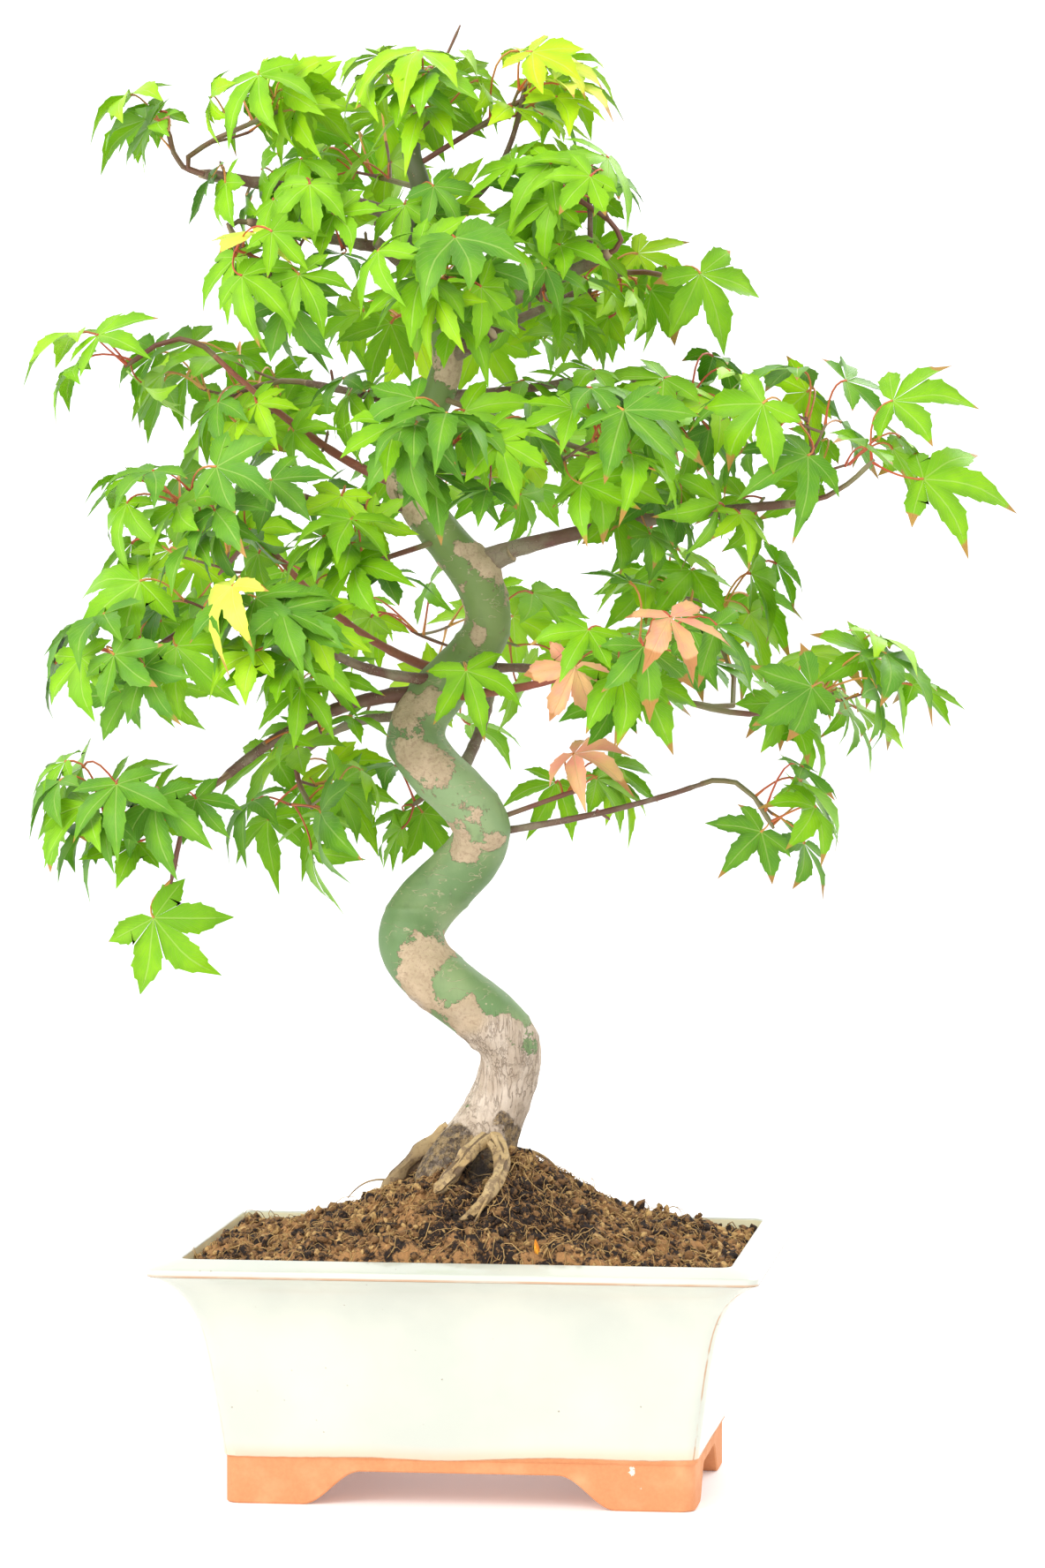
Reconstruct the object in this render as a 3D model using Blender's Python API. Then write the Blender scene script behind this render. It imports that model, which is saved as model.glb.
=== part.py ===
"""A Japanese maple bonsai with an S-curved trunk, in a cream glazed pot on four bracket feet.

Everything is in metres, +Z up, with the pot's long side along X and its front towards -Y.
The plant is worked out round the pot's own centre and then moved as one, so that the origin lies
under the middle of the whole bonsai, at the height that the feet stand on.
"""

import math

import bpy
import bmesh
import numpy as np
from mathutils import Vector
from mathutils.bvhtree import BVHTree

# Pot: a rectangular bowl with a flared lip on a plain unglazed foot band
RIM_HALF = (0.125, 0.092)
RIM_TOP = 0.1030
LIP_TOP = 0.0995
LIP_UNDERSIDE = 0.0965
RIM_WIDTH = 0.0125
WALL = 0.0075
FLARE = 0.0165
FLARE_FALL = 0.009
WALL_SLOPE = 0.138
BAND_TOP = 0.0200
BAND_SET_BACK = 0.0010
FLOOR_TOP = 0.0240
POT_CORNER = 0.0060
CORNER_STEPS = 2
WALL_RINGS = (1.0, 0.72, 0.48, 0.3, 0.18, 0.1, 0.05, 0.02, 0.0)
INNER_HEIGHTS = (0.0935, 0.0730, FLOOR_TOP)

# Feet: what two crossing ogee arches leave of the foot band
ARCH_HEIGHT = 0.0140
FRONT_ARCH = (0.0405, 0.0650)
SIDE_ARCH = (0.0220, 0.0400)
ARCH_STEPS = 6
ARCH_CUT = 0.0100

# Soil and its mound
SOIL_LEVEL = 0.0975
MOUND_HEIGHT = 0.0430
MOUND_CENTRE = (0.003, -0.002)
MOUND_HALF = (0.050, 0.048)
MOUND_STEEPNESS = 2.4
SOIL_LUMP = 0.0018
LUMP_TURNS = (165.0, 180.0)
LUMP_SWAY = (1.2, 90.0)
SOIL_SIDES = (0.0243, 0.0750, 0.0945)
SOIL_GAP = 0.0012
SOIL_SQUARENESS = 12.0
SOIL_RINGS = 9
SOIL_ROUND = 26

# Trunk: it swings from one turning point to the next: x, z and radius at each
TRUNK_TURNS = (
    (-0.003, 0.127, 0.0119),
    (0.0135, 0.181, 0.0124),
    (-0.0285, 0.229, 0.0137),
    (0.001, 0.274, 0.0118),
    (-0.026, 0.314, 0.0118),
    (0.004, 0.363, 0.0094),
    (-0.029, 0.425, 0.0081),
    (-0.013, 0.472, 0.0061),
    (-0.027, 0.518, 0.0048),
    (-0.024, 0.539, 0.0043),
    (-0.028, 0.558, 0.0038),
)
TRUNK_WINDING = 0.0070
TRUNK_SIDES = 10
TRUNK_STEPS = 4
FLARE_WIDTH = 0.0130
FLARE_REACH = 0.0140
FLARE_RIDGES = 5

# Surface roots: where each leaves the trunk, where it bends, where it ends, radii, and how far it arches
ROOTS = {
    "root_left_ridge": ((-0.010, 0.000), (-0.025, -0.003), (-0.041, -0.006), 0.0066, 0.0030, 0.001),
    "root_left_arch": ((0.004, -0.012), (-0.004, -0.029), (-0.014, -0.034), 0.0034, 0.0024, 0.003),
    "root_front": ((0.007, -0.012), (0.023, -0.032), (-0.001, -0.052), 0.0034, 0.0018, 0.001),
}
ROOT_START = 0.1455
ROOT_LIFT = 0.2
ROOT_SIDES = 7
ROOT_STEPS = 6

# Boughs: height on the trunk, knee, tip, and the radii at the trunk and at the tip
BOUGHS = {
    "bough_low_left": (0.330, (-0.062, -0.008, 0.333), (-0.103, -0.028, 0.296), 0.0032, 0.0019),
    "bough_lower_left": (0.320, (-0.056, 0.022, 0.323), (-0.079, 0.038, 0.304), 0.0024, 0.0015),
    "bough_left_fork": (0.336, (-0.054, -0.026, 0.337), (-0.070, -0.046, 0.363), 0.0024, 0.0015),
    "bough_left_red": (0.338, (-0.057, 0.030, 0.348), (-0.092, 0.048, 0.386), 0.0021, 0.0013),
    "bough_mid_left": (0.410, (-0.050, -0.018, 0.404), (-0.069, -0.034, 0.413), 0.0022, 0.0015),
    "bough_far_left": (0.417, (-0.059, 0.006, 0.421), (-0.112, -0.008, 0.473), 0.0023, 0.0011),
    "bough_upper_mid_left": (0.447, (-0.048, 0.016, 0.455), (-0.078, 0.030, 0.460), 0.0021, 0.0014),
    "bough_high_left_low": (0.513, (-0.051, -0.008, 0.517), (-0.094, -0.020, 0.526), 0.0027, 0.0018),
    "bough_high_left_top": (0.526, (-0.053, 0.004, 0.537), (-0.119, 0.010, 0.547), 0.0030, 0.0023),
    "bough_right_main": (0.384, (0.044, -0.006, 0.403), (0.134, -0.014, 0.410), 0.0039, 0.0017),
    "bough_right_inner": (0.454, (0.015, 0.018, 0.455), (0.047, 0.034, 0.463), 0.0024, 0.0015),
    "bough_high_right_thick": (0.483, (0.018, -0.004, 0.494), (0.056, -0.010, 0.513), 0.0037, 0.0023),
    "bough_high_right_low": (0.473, (0.019, 0.022, 0.488), (0.049, 0.038, 0.503), 0.0024, 0.0014),
    "bough_right_dark": (0.340, (0.042, 0.014, 0.345), (0.089, 0.026, 0.325), 0.0020, 0.0012),
    "bough_right_red": (0.329, (0.027, -0.012, 0.331), (0.061, -0.026, 0.348), 0.0021, 0.0013),
    "bough_low_right": (0.272, (0.054, 0.010, 0.279), (0.095, 0.006, 0.294), 0.0015, 0.0010),
    "bough_rear": (0.292, (0.000, 0.042, 0.316), (-0.002, 0.066, 0.340), 0.0028, 0.0016),
}
BOUGH_SIDES = 5
BOUGH_STEPS = 4
COLLAR = 0.35
COLLAR_FALL = 9.0

# Foliage: the bough or the height on the trunk that carries it, the middle of its space, the half
# sizes of that space, and its leaves
FOLIAGE = {
    "foliage_low_left_outer": ("bough_low_left", (-0.141, -0.038, 0.281), (0.051, 0.055, 0.040), 11),
    "foliage_low_left_inner": ("bough_lower_left", (-0.075, 0.030, 0.280), (0.050, 0.060, 0.042), 10),
    "foliage_left_lower_outer": ("bough_left_fork", (-0.133, -0.050, 0.347), (0.052, 0.057, 0.047), 11),
    "foliage_left_lower_inner": ("bough_left_fork", (-0.072, -0.070, 0.358), (0.041, 0.047, 0.039), 8),
    "foliage_left_middle_rear": ("bough_left_red", (-0.122, 0.072, 0.378), (0.060, 0.062, 0.050), 11),
    "foliage_left_middle_front": ("bough_mid_left", (-0.104, -0.054, 0.410), (0.056, 0.058, 0.040), 11),
    "foliage_far_left": ("bough_far_left", (-0.147, -0.012, 0.466), (0.048, 0.039, 0.030), 3),
    "foliage_left_upper": ("bough_upper_mid_left", (-0.109, 0.032, 0.454), (0.056, 0.053, 0.040), 11),
    "foliage_high_left_low": ("bough_high_left_low", (-0.075, -0.034, 0.497), (0.040, 0.046, 0.039), 8),
    "foliage_top_left_outer": ("bough_high_left_top", (-0.132, 0.008, 0.566), (0.039, 0.039, 0.029), 4),
    "foliage_top_left": ("bough_high_left_top", (-0.082, 0.000, 0.573), (0.040, 0.053, 0.032), 9),
    "foliage_top_left_rear": (0.540, (-0.054, 0.062, 0.548), (0.043, 0.050, 0.037), 8),
    "foliage_top_centre": (None, (-0.022, -0.005, 0.578), (0.041, 0.053, 0.030), 9),
    "foliage_top_right": (0.549, (0.022, -0.005, 0.578), (0.048, 0.048, 0.030), 9),
    "foliage_high_right": ("bough_high_right_thick", (0.040, -0.016, 0.537), (0.048, 0.054, 0.035), 10),
    "foliage_high_right_rear": ("bough_high_right_low", (0.040, 0.074, 0.500), (0.051, 0.055, 0.039), 10),
    "foliage_front_high": (0.498, (-0.004, -0.064, 0.502), (0.048, 0.054, 0.040), 9),
    "foliage_front_middle": (0.439, (0.000, -0.074, 0.434), (0.050, 0.056, 0.038), 11),
    "foliage_left_front": (0.395, (-0.044, -0.046, 0.384), (0.036, 0.043, 0.039), 5),
    "foliage_right_upper": ("bough_right_inner", (0.076, 0.038, 0.446), (0.057, 0.060, 0.037), 11),
    "foliage_right_front": (0.454, (0.062, -0.060, 0.428), (0.049, 0.058, 0.037), 10),
    "foliage_right_outer": ("bough_right_main", (0.139, -0.012, 0.434), (0.056, 0.060, 0.049), 10),
    "foliage_right_lower_outer": ("bough_right_dark", (0.147, 0.010, 0.331), (0.057, 0.064, 0.040), 11),
    "foliage_right_lower_rear": ("bough_right_dark", (0.087, 0.084, 0.362), (0.057, 0.058, 0.040), 11),
    "foliage_right_lower_inner": ("bough_right_red", (0.074, -0.054, 0.349), (0.056, 0.056, 0.044), 10),
    "foliage_low_right": ("bough_low_right", (0.123, 0.004, 0.275), (0.041, 0.046, 0.041), 5),
    "foliage_low_right_inner": (0.276, (0.040, 0.012, 0.290), (0.041, 0.034, 0.034), 4),
    "foliage_trunk_rear": (0.294, (-0.034, 0.044, 0.281), (0.037, 0.037, 0.036), 3),
    "foliage_rear_low": ("bough_rear", (-0.023, 0.122, 0.343), (0.070, 0.064, 0.050), 10),
    "foliage_rear_middle": (0.420, (-0.010, 0.122, 0.420), (0.070, 0.066, 0.044), 10),
    "foliage_rear_high": (0.479, (-0.028, 0.104, 0.484), (0.062, 0.060, 0.041), 10),
}

# Lone leaves: carrier, blade's base, where the middle lobe points, where the blade faces, lobe length
LONE_LEAVES = {
    "foliage_low_left_hanging": (
        ("bough_low_left", (-0.132, -0.030, 0.238), (0.60, -0.15, -0.75), (-0.1, -1.0, 0.1), 0.036),
    ),
    "foliage_lone_right": (
        ("bough_high_right_low", (0.090, 0.024, 0.505), (0.5, -0.2, -0.9), (0.3, -0.9, 0.5), 0.033),
    ),
    "foliage_trunk_front": (
        (0.335, (-0.002, -0.024, 0.341), (0.35, -0.3, -0.9), (0.1, -1.0, 0.35), 0.028),
    ),
    "foliage_right_tip": (
        ("bough_right_main", (0.186, -0.020, 0.420), (1.0, -0.1, 0.0), (0.05, -0.75, 0.65), 0.037),
        ("bough_right_main", (0.173, -0.014, 0.452), (1.0, -0.2, 0.15), (0.0, -0.7, 0.7), 0.033),
    ),
}

# Leaves: five lobes by angle and by length, with the notches between them
LOBE_ANGLES = (-104.0, -50.0, 0.0, 50.0, 104.0)
LOBE_LENGTHS = (0.62, 0.92, 1.0, 0.92, 0.62)
NOTCH = 0.42
LOBE_DROOP = 0.20
LEAF_THICKNESS = 0.0009
LEAF_LENGTH = (0.026, 0.037)
STALK_LENGTH = 0.020
STALK_RADIUS = 0.00055
STALK_FOOT = 0.00030
HEEL = 1.6
STALK_REACH = 0.032
STALK_LEAST = 0.010

# Twigs: three-sided, from a stem that runs to the middle of the space
STEM_RADIUS = (0.0013, 0.0011)
TWIG_RADIUS = (0.0007, 0.0006)
STEM_STEPS = 3
STEM_KNEE = 0.45
STEM_START = 0.0020
BUD_LENGTH = 0.0015
BOUGH_TIP_OFFSET = 0.0015

# Bare twigs: the mass that each belongs to, and its tip
BARE_TWIGS = {"foliage_top_centre": (-0.007, -0.004, 0.607)}

# Masses of younger, yellower leaves
LIME_MASSES = ("foliage_top_right", "foliage_far_left", "foliage_right_tip")

CLEARANCE = 0.0003
SKIN = 0.0004
MERGE = 0.0000002
SEED = 52
HEADING_SPREAD = 50.0
DROOP = (5.0, 62.0)
FACE_SCATTER = 0.28
OUTWARD = 0.9
UPWARD = 0.65
TRIES = 16
MOST_SPOTS = 160
SPOT_SHARE = 0.72
STALK_BEND = 0.25
STALKS_A_BUD = 3
STALK_SPACING = 0.0016
BLADE_MIDDLE = 0.3
CREAM_GLAZE = (0.86, 0.83, 0.74)
TERRACOTTA = (0.72, 0.29, 0.13)
SOIL_BROWN = (0.075, 0.042, 0.025)
TRUNK_GREEN = (0.20, 0.27, 0.15)
ROOT_TAN = (0.33, 0.24, 0.14)
BOUGH_BROWN = (0.20, 0.10, 0.07)
LEAF_GREEN = (0.11, 0.38, 0.04)
LEAF_LIME = (0.35, 0.55, 0.04)


# Materials and meshes


def material(name, colour, roughness, coat=0.0):
    """A Principled material of one colour."""
    made = bpy.data.materials.new(name)
    made.use_nodes = True
    shader = made.node_tree.nodes["Principled BSDF"]
    shader.inputs["Base Color"].default_value = (*colour, 1.0)
    shader.inputs["Roughness"].default_value = roughness
    shader.inputs["Metallic"].default_value = 0.0
    shader.inputs["Coat Weight"].default_value = coat
    return made


def mesh_object(name, vertices, faces, finish, collection=None):
    """An object whose mesh faces outwards."""
    mesh = bpy.data.meshes.new(name)
    mesh.from_pydata([tuple(map(float, v)) for v in vertices], [], faces)
    work = bmesh.new()
    work.from_mesh(mesh)
    bmesh.ops.recalc_face_normals(work, faces=work.faces)
    if work.calc_volume(signed=True) < 0:
        bmesh.ops.reverse_faces(work, faces=work.faces)
    work.to_mesh(mesh)
    work.free()
    mesh.materials.append(finish)
    made = bpy.data.objects.new(name, mesh)
    (collection or bpy.context.scene.collection).objects.link(made)
    return made


def boolean(target, tool, operation, solver="EXACT"):
    """A live Boolean with one object."""
    modifier = target.modifiers.new(operation.title() + " " + tool.name, "BOOLEAN")
    modifier.operation = operation
    modifier.object = tool
    modifier.solver = solver


def as_cutter(made):
    """The object becomes a helper that is neither rendered nor part of the bonsai."""
    made.hide_render = True
    made.display_type = "WIRE"
    return made


def evaluated_mesh(made):
    """A plain mesh of the object with its modifiers applied."""
    graph = bpy.context.evaluated_depsgraph_get()
    return bpy.data.meshes.new_from_object(made.evaluated_get(graph))


def smooth(made, angle=40.0):
    """Round surfaces shade smooth, and edges sharper than the angle stay sharp."""
    made.data.shade_smooth()
    made.data.set_sharp_from_angle(angle=math.radians(angle))


# Vectors, curves and tubes


def unit(vector):
    vector = np.asarray(vector, float)
    return vector / np.linalg.norm(vector)


def bow(start, knee, tip, steps):
    """Points of a quadratic Bezier curve from start to tip, drawn towards knee."""
    t = np.linspace(0.0, 1.0, steps + 1)[:, None]
    start, knee, tip = (np.asarray(p, float) for p in (start, knee, tip))
    return (1 - t) ** 2 * start + 2 * t * (1 - t) * knee + t**2 * tip


def tube(path, radii, sides):
    """A closed tube round a path. radii holds one radius a ring, or one a corner of each ring."""
    path = np.asarray(path, float)
    radii = np.broadcast_to(np.reshape(radii, (len(path), -1)), (len(path), sides))
    along = np.gradient(path, axis=0)
    along /= np.linalg.norm(along, axis=1)[:, None]
    side = unit(np.cross(along[0], (0.31, 0.87, 0.38)))
    turn = np.arange(sides) * 2 * math.pi / sides
    rings = []
    for centre, ahead, radius in zip(path, along, radii):
        side = unit(side - ahead * (side @ ahead))
        across = np.cross(ahead, side)
        ring = np.outer(np.cos(turn), side) + np.outer(np.sin(turn), across)
        rings.append(centre + ring * radius[:, None])
    return np.concatenate(rings), ring_faces(len(rings), sides)


def ring_faces(rings, sides):
    """Triangles between rings that follow one another, and a cap on each end."""
    faces = [tuple(range(sides))[::-1]]
    for r in range(rings - 1):
        for k in range(sides):
            a, b = r * sides + k, r * sides + (k + 1) % sides
            faces += [(a, b, b + sides), (a, b + sides, a + sides)]
    faces.append(tuple(range((rings - 1) * sides, rings * sides)))
    return faces


# Pot


def rounded_rectangle(half, corner, z):
    """The corners' arcs of a rectangle, anticlockwise, at one height."""
    points = []
    for k in range(4):
        middle = (
            math.copysign(half[0] - corner, math.cos(math.pi * (0.25 + 0.5 * k))),
            math.copysign(half[1] - corner, math.sin(math.pi * (0.25 + 0.5 * k))),
        )
        for step in range(CORNER_STEPS + 1):
            turn = math.pi / 2 * (k + step / CORNER_STEPS)
            points.append(
                (middle[0] + corner * math.cos(turn), middle[1] + corner * math.sin(turn), z)
            )
    return points


def inset(half, amount):
    return (half[0] - amount, half[1] - amount)


def wall_half(z):
    """Half sizes of the outer wall: a lip that curls in fast, then a wall that leans in evenly."""
    below = max(LIP_UNDERSIDE - z, 0.0)
    return inset(RIM_HALF, FLARE * (1 - math.exp(-below / FLARE_FALL)) + WALL_SLOPE * below)


def make_pot(glaze, bare_clay):
    foot = inset(wall_half(BAND_TOP), BAND_SET_BACK)
    rings = [
        rounded_rectangle(foot, POT_CORNER, 0.0),
        rounded_rectangle(foot, POT_CORNER, BAND_TOP - BAND_SET_BACK),
    ]
    for depth in WALL_RINGS:
        z = LIP_UNDERSIDE - depth * (LIP_UNDERSIDE - BAND_TOP)
        rings.append(rounded_rectangle(wall_half(z), POT_CORNER, z))
    rings.append(rounded_rectangle(RIM_HALF, POT_CORNER, LIP_TOP))
    rings.append(rounded_rectangle(inset(RIM_HALF, RIM_WIDTH), POT_CORNER, RIM_TOP))
    for z in INNER_HEIGHTS:
        rings.append(rounded_rectangle(inset(wall_half(z), WALL), POT_CORNER, z))
    sides = len(rings[0])
    pot = mesh_object("pot", np.concatenate(rings), ring_faces(len(rings), sides), glaze)
    pot.data.materials.append(bare_clay)
    for polygon in pot.data.polygons:
        if polygon.center.z < BAND_TOP - BAND_SET_BACK:
            polygon.material_index = 1
    smooth(pot)
    for name, arch, axis in (("arch_front", FRONT_ARCH, 1), ("arch_side", SIDE_ARCH, 0)):
        boolean(pot, make_arch(name, arch, axis, bare_clay), "DIFFERENCE")
    return pot


def make_arch(name, arch, axis, finish):
    """A cutter the shape of the gap between two feet: an ogee on each side of a flat top."""
    top, foot = arch
    outline = [(foot, -ARCH_CUT)]
    for step in range(ARCH_STEPS + 1):
        share = step / ARCH_STEPS
        lift = 0.5 - 0.5 * math.cos(math.pi * share)
        outline.append((foot + (top - foot) * share, ARCH_HEIGHT * lift))
    outline += [(-across, z) for across, z in reversed(outline)]
    ends = [
        [(across, end, z) if axis else (end, across, z) for across, z in outline]
        for end in (-2 * RIM_HALF[0], 2 * RIM_HALF[0])
    ]
    vertices = np.concatenate(ends)
    return as_cutter(mesh_object(name, vertices, ring_faces(2, len(outline)), finish))


# Soil


def soil_height(x, y):
    """The mound falls off all round, and it has lumps about 35 mm apart."""
    away = np.hypot((x - MOUND_CENTRE[0]) / MOUND_HALF[0], (y - MOUND_CENTRE[1]) / MOUND_HALF[1])
    sway, bend = LUMP_SWAY
    lumps = np.sin(LUMP_TURNS[0] * x + sway * np.sin(bend * y)) * np.sin(LUMP_TURNS[1] * y + 1.0)
    return SOIL_LEVEL + MOUND_HEIGHT / (1 + away**MOUND_STEEPNESS) + SOIL_LUMP * lumps


def make_soil(finish):
    """Filled up from the pot's floor, with rings that draw in over the mound."""
    turn = np.arange(SOIL_ROUND) * 2 * math.pi / SOIL_ROUND
    rings = [soil_ring(turn, z, 1.0) for z in SOIL_SIDES]
    for k in range(1, SOIL_RINGS):
        ring = soil_ring(turn, SOIL_SIDES[-1], 1.0 - k / (SOIL_RINGS - 0.5))
        ring[:, 2] = soil_height(ring[:, 0], ring[:, 1])
        rings.append(ring)
    soil = mesh_object("soil", np.concatenate(rings), ring_faces(len(rings), SOIL_ROUND), finish)
    smooth(soil, 60.0)
    return soil


def soil_ring(turn, z, share):
    """A ring inside the pot's wall: a superellipse, drawn in by share and rounder as it goes."""
    half = inset(wall_half(min(z, INNER_HEIGHTS[0])), WALL + SOIL_GAP)
    power = 2.0 / (2.0 + SOIL_SQUARENESS * share**3)
    x = np.sign(np.cos(turn)) * np.abs(np.cos(turn)) ** power
    y = np.sign(np.sin(turn)) * np.abs(np.sin(turn)) ** power
    ring = np.stack([half[0] * share * x, half[1] * share * y, np.full(len(turn), z)], axis=1)
    ring[:, :2] += (1 - share) * np.array(MOUND_CENTRE)
    return ring


# Trunk and roots


def swing(z):
    """Which stretch of the trunk a height lies in, and the eased share of that stretch."""
    heights = [turn[1] for turn in TRUNK_TURNS]
    stretch = min(max(np.searchsorted(heights, z, "right") - 1, 0), len(heights) - 2)
    share = (z - heights[stretch]) / (heights[stretch + 1] - heights[stretch])
    return stretch, min(max(share, 0.0), 1.0)


def trunk_point(z):
    """The trunk's axis at a height: it swings in X and winds round in Y half a turn behind."""
    stretch, share = swing(z)
    (x0, _, r0), (x1, _, r1) = TRUNK_TURNS[stretch], TRUNK_TURNS[stretch + 1]
    ease = 0.5 - 0.5 * math.cos(math.pi * share)
    taper = min(stretch + share, 1.0) * r0 / TRUNK_TURNS[0][2]
    y = TRUNK_WINDING * taper * math.sin(math.pi * (stretch + share))
    return np.array([x0 + (x1 - x0) * ease, y, z])


def trunk_radius(z):
    stretch, share = swing(z)
    r0, r1 = TRUNK_TURNS[stretch][2], TRUNK_TURNS[stretch + 1][2]
    return r0 + (r1 - r0) * share


def trunk_tube(extra):
    """The trunk's surface, grown by extra all over."""
    heights = []
    for (_, low, _), (_, high, _) in zip(TRUNK_TURNS, TRUNK_TURNS[1:]):
        steps = max(2, round(TRUNK_STEPS * (high - low) / 0.045))
        heights += [low + (high - low) * k / steps for k in range(steps)]
    heights.append(TRUNK_TURNS[-1][1])
    path = np.array([trunk_point(z) for z in heights])
    turn = np.arange(TRUNK_SIDES) * 2 * math.pi / TRUNK_SIDES
    radii = []
    for z in heights:
        spread = FLARE_WIDTH * math.exp(-(((z - heights[0]) / FLARE_REACH) ** 1.5))
        ridges = 1 + 0.22 * np.cos(FLARE_RIDGES * turn + 0.8)
        radii.append(trunk_radius(z) + spread * ridges + extra)
    radii[0] += 2 * extra
    path[0, 2] -= extra
    path[-1, 2] += extra
    vertices, faces = tube(path, np.array(radii), TRUNK_SIDES)
    vertices[:TRUNK_SIDES, 2] = path[0, 2]
    return vertices, faces


def make_trunk(finish):
    trunk = mesh_object("trunk", *trunk_tube(0.0), finish)
    smooth(trunk, 60.0)
    return trunk


def root_tube(root, extra):
    """A root that leaves the flare, arches over the mound and ends half sunk in its face."""
    start, bend, end, r0, r1, arch = root
    flat = bow((*start, 0.0), (*bend, 0.0), (*end, 0.0), ROOT_STEPS)
    share = np.linspace(0.0, 1.0, ROOT_STEPS + 1)
    radii = r0 + (r1 - r0) * share
    lie = soil_height(flat[:, 0], flat[:, 1]) + ROOT_LIFT * radii + arch * np.sin(math.pi * share)
    hold = (1 - share) ** 3
    flat[:, 2] = hold * ROOT_START + (1 - hold) * lie
    return tube(flat, radii + extra, ROOT_SIDES)


# Boughs


def bough_path(bough):
    height, knee, tip, _, _ = bough
    return bow(trunk_point(height), knee, tip, BOUGH_STEPS)


def bough_tube(bough, extra):
    """A tapering limb, swollen into a collar where it leaves the trunk."""
    share = np.linspace(0.0, 1.0, BOUGH_STEPS + 1)
    _, _, _, r0, r1 = bough
    radii = r0 + (r1 - r0) * share + COLLAR * r0 * np.exp(-COLLAR_FALL * share)
    return tube(bough_path(bough), radii + extra, BOUGH_SIDES)


# Leaves and twigs


def leaf_mesh(leaf, extra=0.0):
    """A thin star of five drooping lobes on its stalk, one closed mesh. extra fattens it."""
    base, ahead, face, length, node = leaf
    across = np.cross(face, ahead)
    half = LEAF_THICKNESS / 2 + extra
    stalk = STALK_RADIUS + extra
    rim = [base - ahead * stalk - across * stalk * HEEL]
    for k, (angle, share) in enumerate(zip(LOBE_ANGLES, LOBE_LENGTHS)):
        if k:
            notch = math.radians((angle + LOBE_ANGLES[k - 1]) / 2)
            reach = NOTCH * length + extra
            rim.append(base + reach * (ahead * math.cos(notch) + across * math.sin(notch)))
        turn, reach = math.radians(angle), share * length + extra
        tip = reach * (ahead * math.cos(turn) + across * math.sin(turn))
        rim.append(base + tip - face * LOBE_DROOP * share * length)
    rim.append(base - ahead * stalk + across * stalk * HEEL)
    count = len(rim)
    top, under = count, count + 1
    away = unit(node - base)
    side = unit(across - away * (across @ away))
    up = np.cross(away, side)
    up *= math.copysign(1.0, up @ face - 1e-9)
    narrow = STALK_FOOT + extra
    foot = [node - side * narrow, node + side * narrow, node + up * narrow]
    vertices = rim + [base + face * half, base - face * half] + foot
    right, left, ridge = count + 2, count + 3, count + 4
    faces = [(top, k, k + 1) for k in range(count - 1)]
    faces += [(under, k + 1, k) for k in range(count - 1)]
    last = count - 1
    faces += [(last, top, ridge, left), (top, 0, right, ridge)]
    faces += [(under, last, left), (under, left, right), (under, right, 0), (left, ridge, right)]
    return np.array(vertices), faces


def twig_mesh(twig, extra=0.0):
    path, radii = twig
    return tube(path, np.asarray(radii) + extra, 3)


def tree_of(shape):
    """A search tree of a mesh, for finding what it touches."""
    vertices, faces = shape
    return BVHTree.FromPolygons([Vector(v) for v in vertices], faces)


class Crown:
    """What stands in the crown already: limbs, and each mass's own twigs and leaves."""

    def __init__(self, limbs):
        self.things = [("limb", "limb", tree_of(shape), *bounds(shape)) for shape in limbs]

    def add(self, shape, mass, kind):
        self.things.append((mass, kind, tree_of(shape), *bounds(shape)))

    def forget(self, mass):
        self.things = [thing for thing in self.things if thing[0] != mass]

    def touches(self, shape, skip=None, own=None):
        """Whether a shape meets anything but one mass, or only the leaves of its own mass."""
        low, high = bounds(shape)
        found = None
        for mass, kind, tree, bottom, top in self.things:
            if mass == skip or (own and (mass != own or kind != "leaf")):
                continue
            if (top < low).any() or (bottom > high).any():
                continue
            found = found or tree_of(shape)
            if tree.overlap(found):
                return True
        return False


def bounds(shape):
    return shape[0].min(axis=0), shape[0].max(axis=0)


def spots(rng):
    """Endless points of the unit ball, each the farthest of several tries from all before it."""
    chosen = [np.zeros(3)]
    while True:
        tries = rng.normal(size=(40, 3))
        tries /= np.linalg.norm(tries, axis=1)[:, None]
        tries *= rng.random((40, 1)) ** (1 / 3)
        gaps = np.linalg.norm(tries[:, None] - np.array(chosen)[None], axis=2).min(axis=1)
        chosen.append(tries[gaps.argmax()])
        yield chosen[-1]


def stem_of(carrier, heart, number):
    """The stem's path: out of a bough's tip, 0.3 mm clear, or out of the trunk, towards the heart."""
    if carrier in BOUGHS:
        path = bough_path(BOUGHS[carrier])
        ahead = unit(path[-1] - path[-2])
        aside = unit(np.cross(ahead, (0.0, 0.0, 1.0))) * BOUGH_TIP_OFFSET
        start = path[-1] + ahead * CLEARANCE + aside * number
    else:
        start = trunk_point(carrier or TRUNK_TURNS[-1][1])
        ahead = unit(heart - start) if carrier else np.array([0.0, 0.0, 1.0])
        start = start if carrier else start + ahead * CLEARANCE
    first = start + ahead * STEM_START
    knee = first + ahead * STEM_KNEE * np.linalg.norm(heart - first)
    return np.concatenate([start[None], bow(first, knee, heart, STEM_STEPS)])


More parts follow.
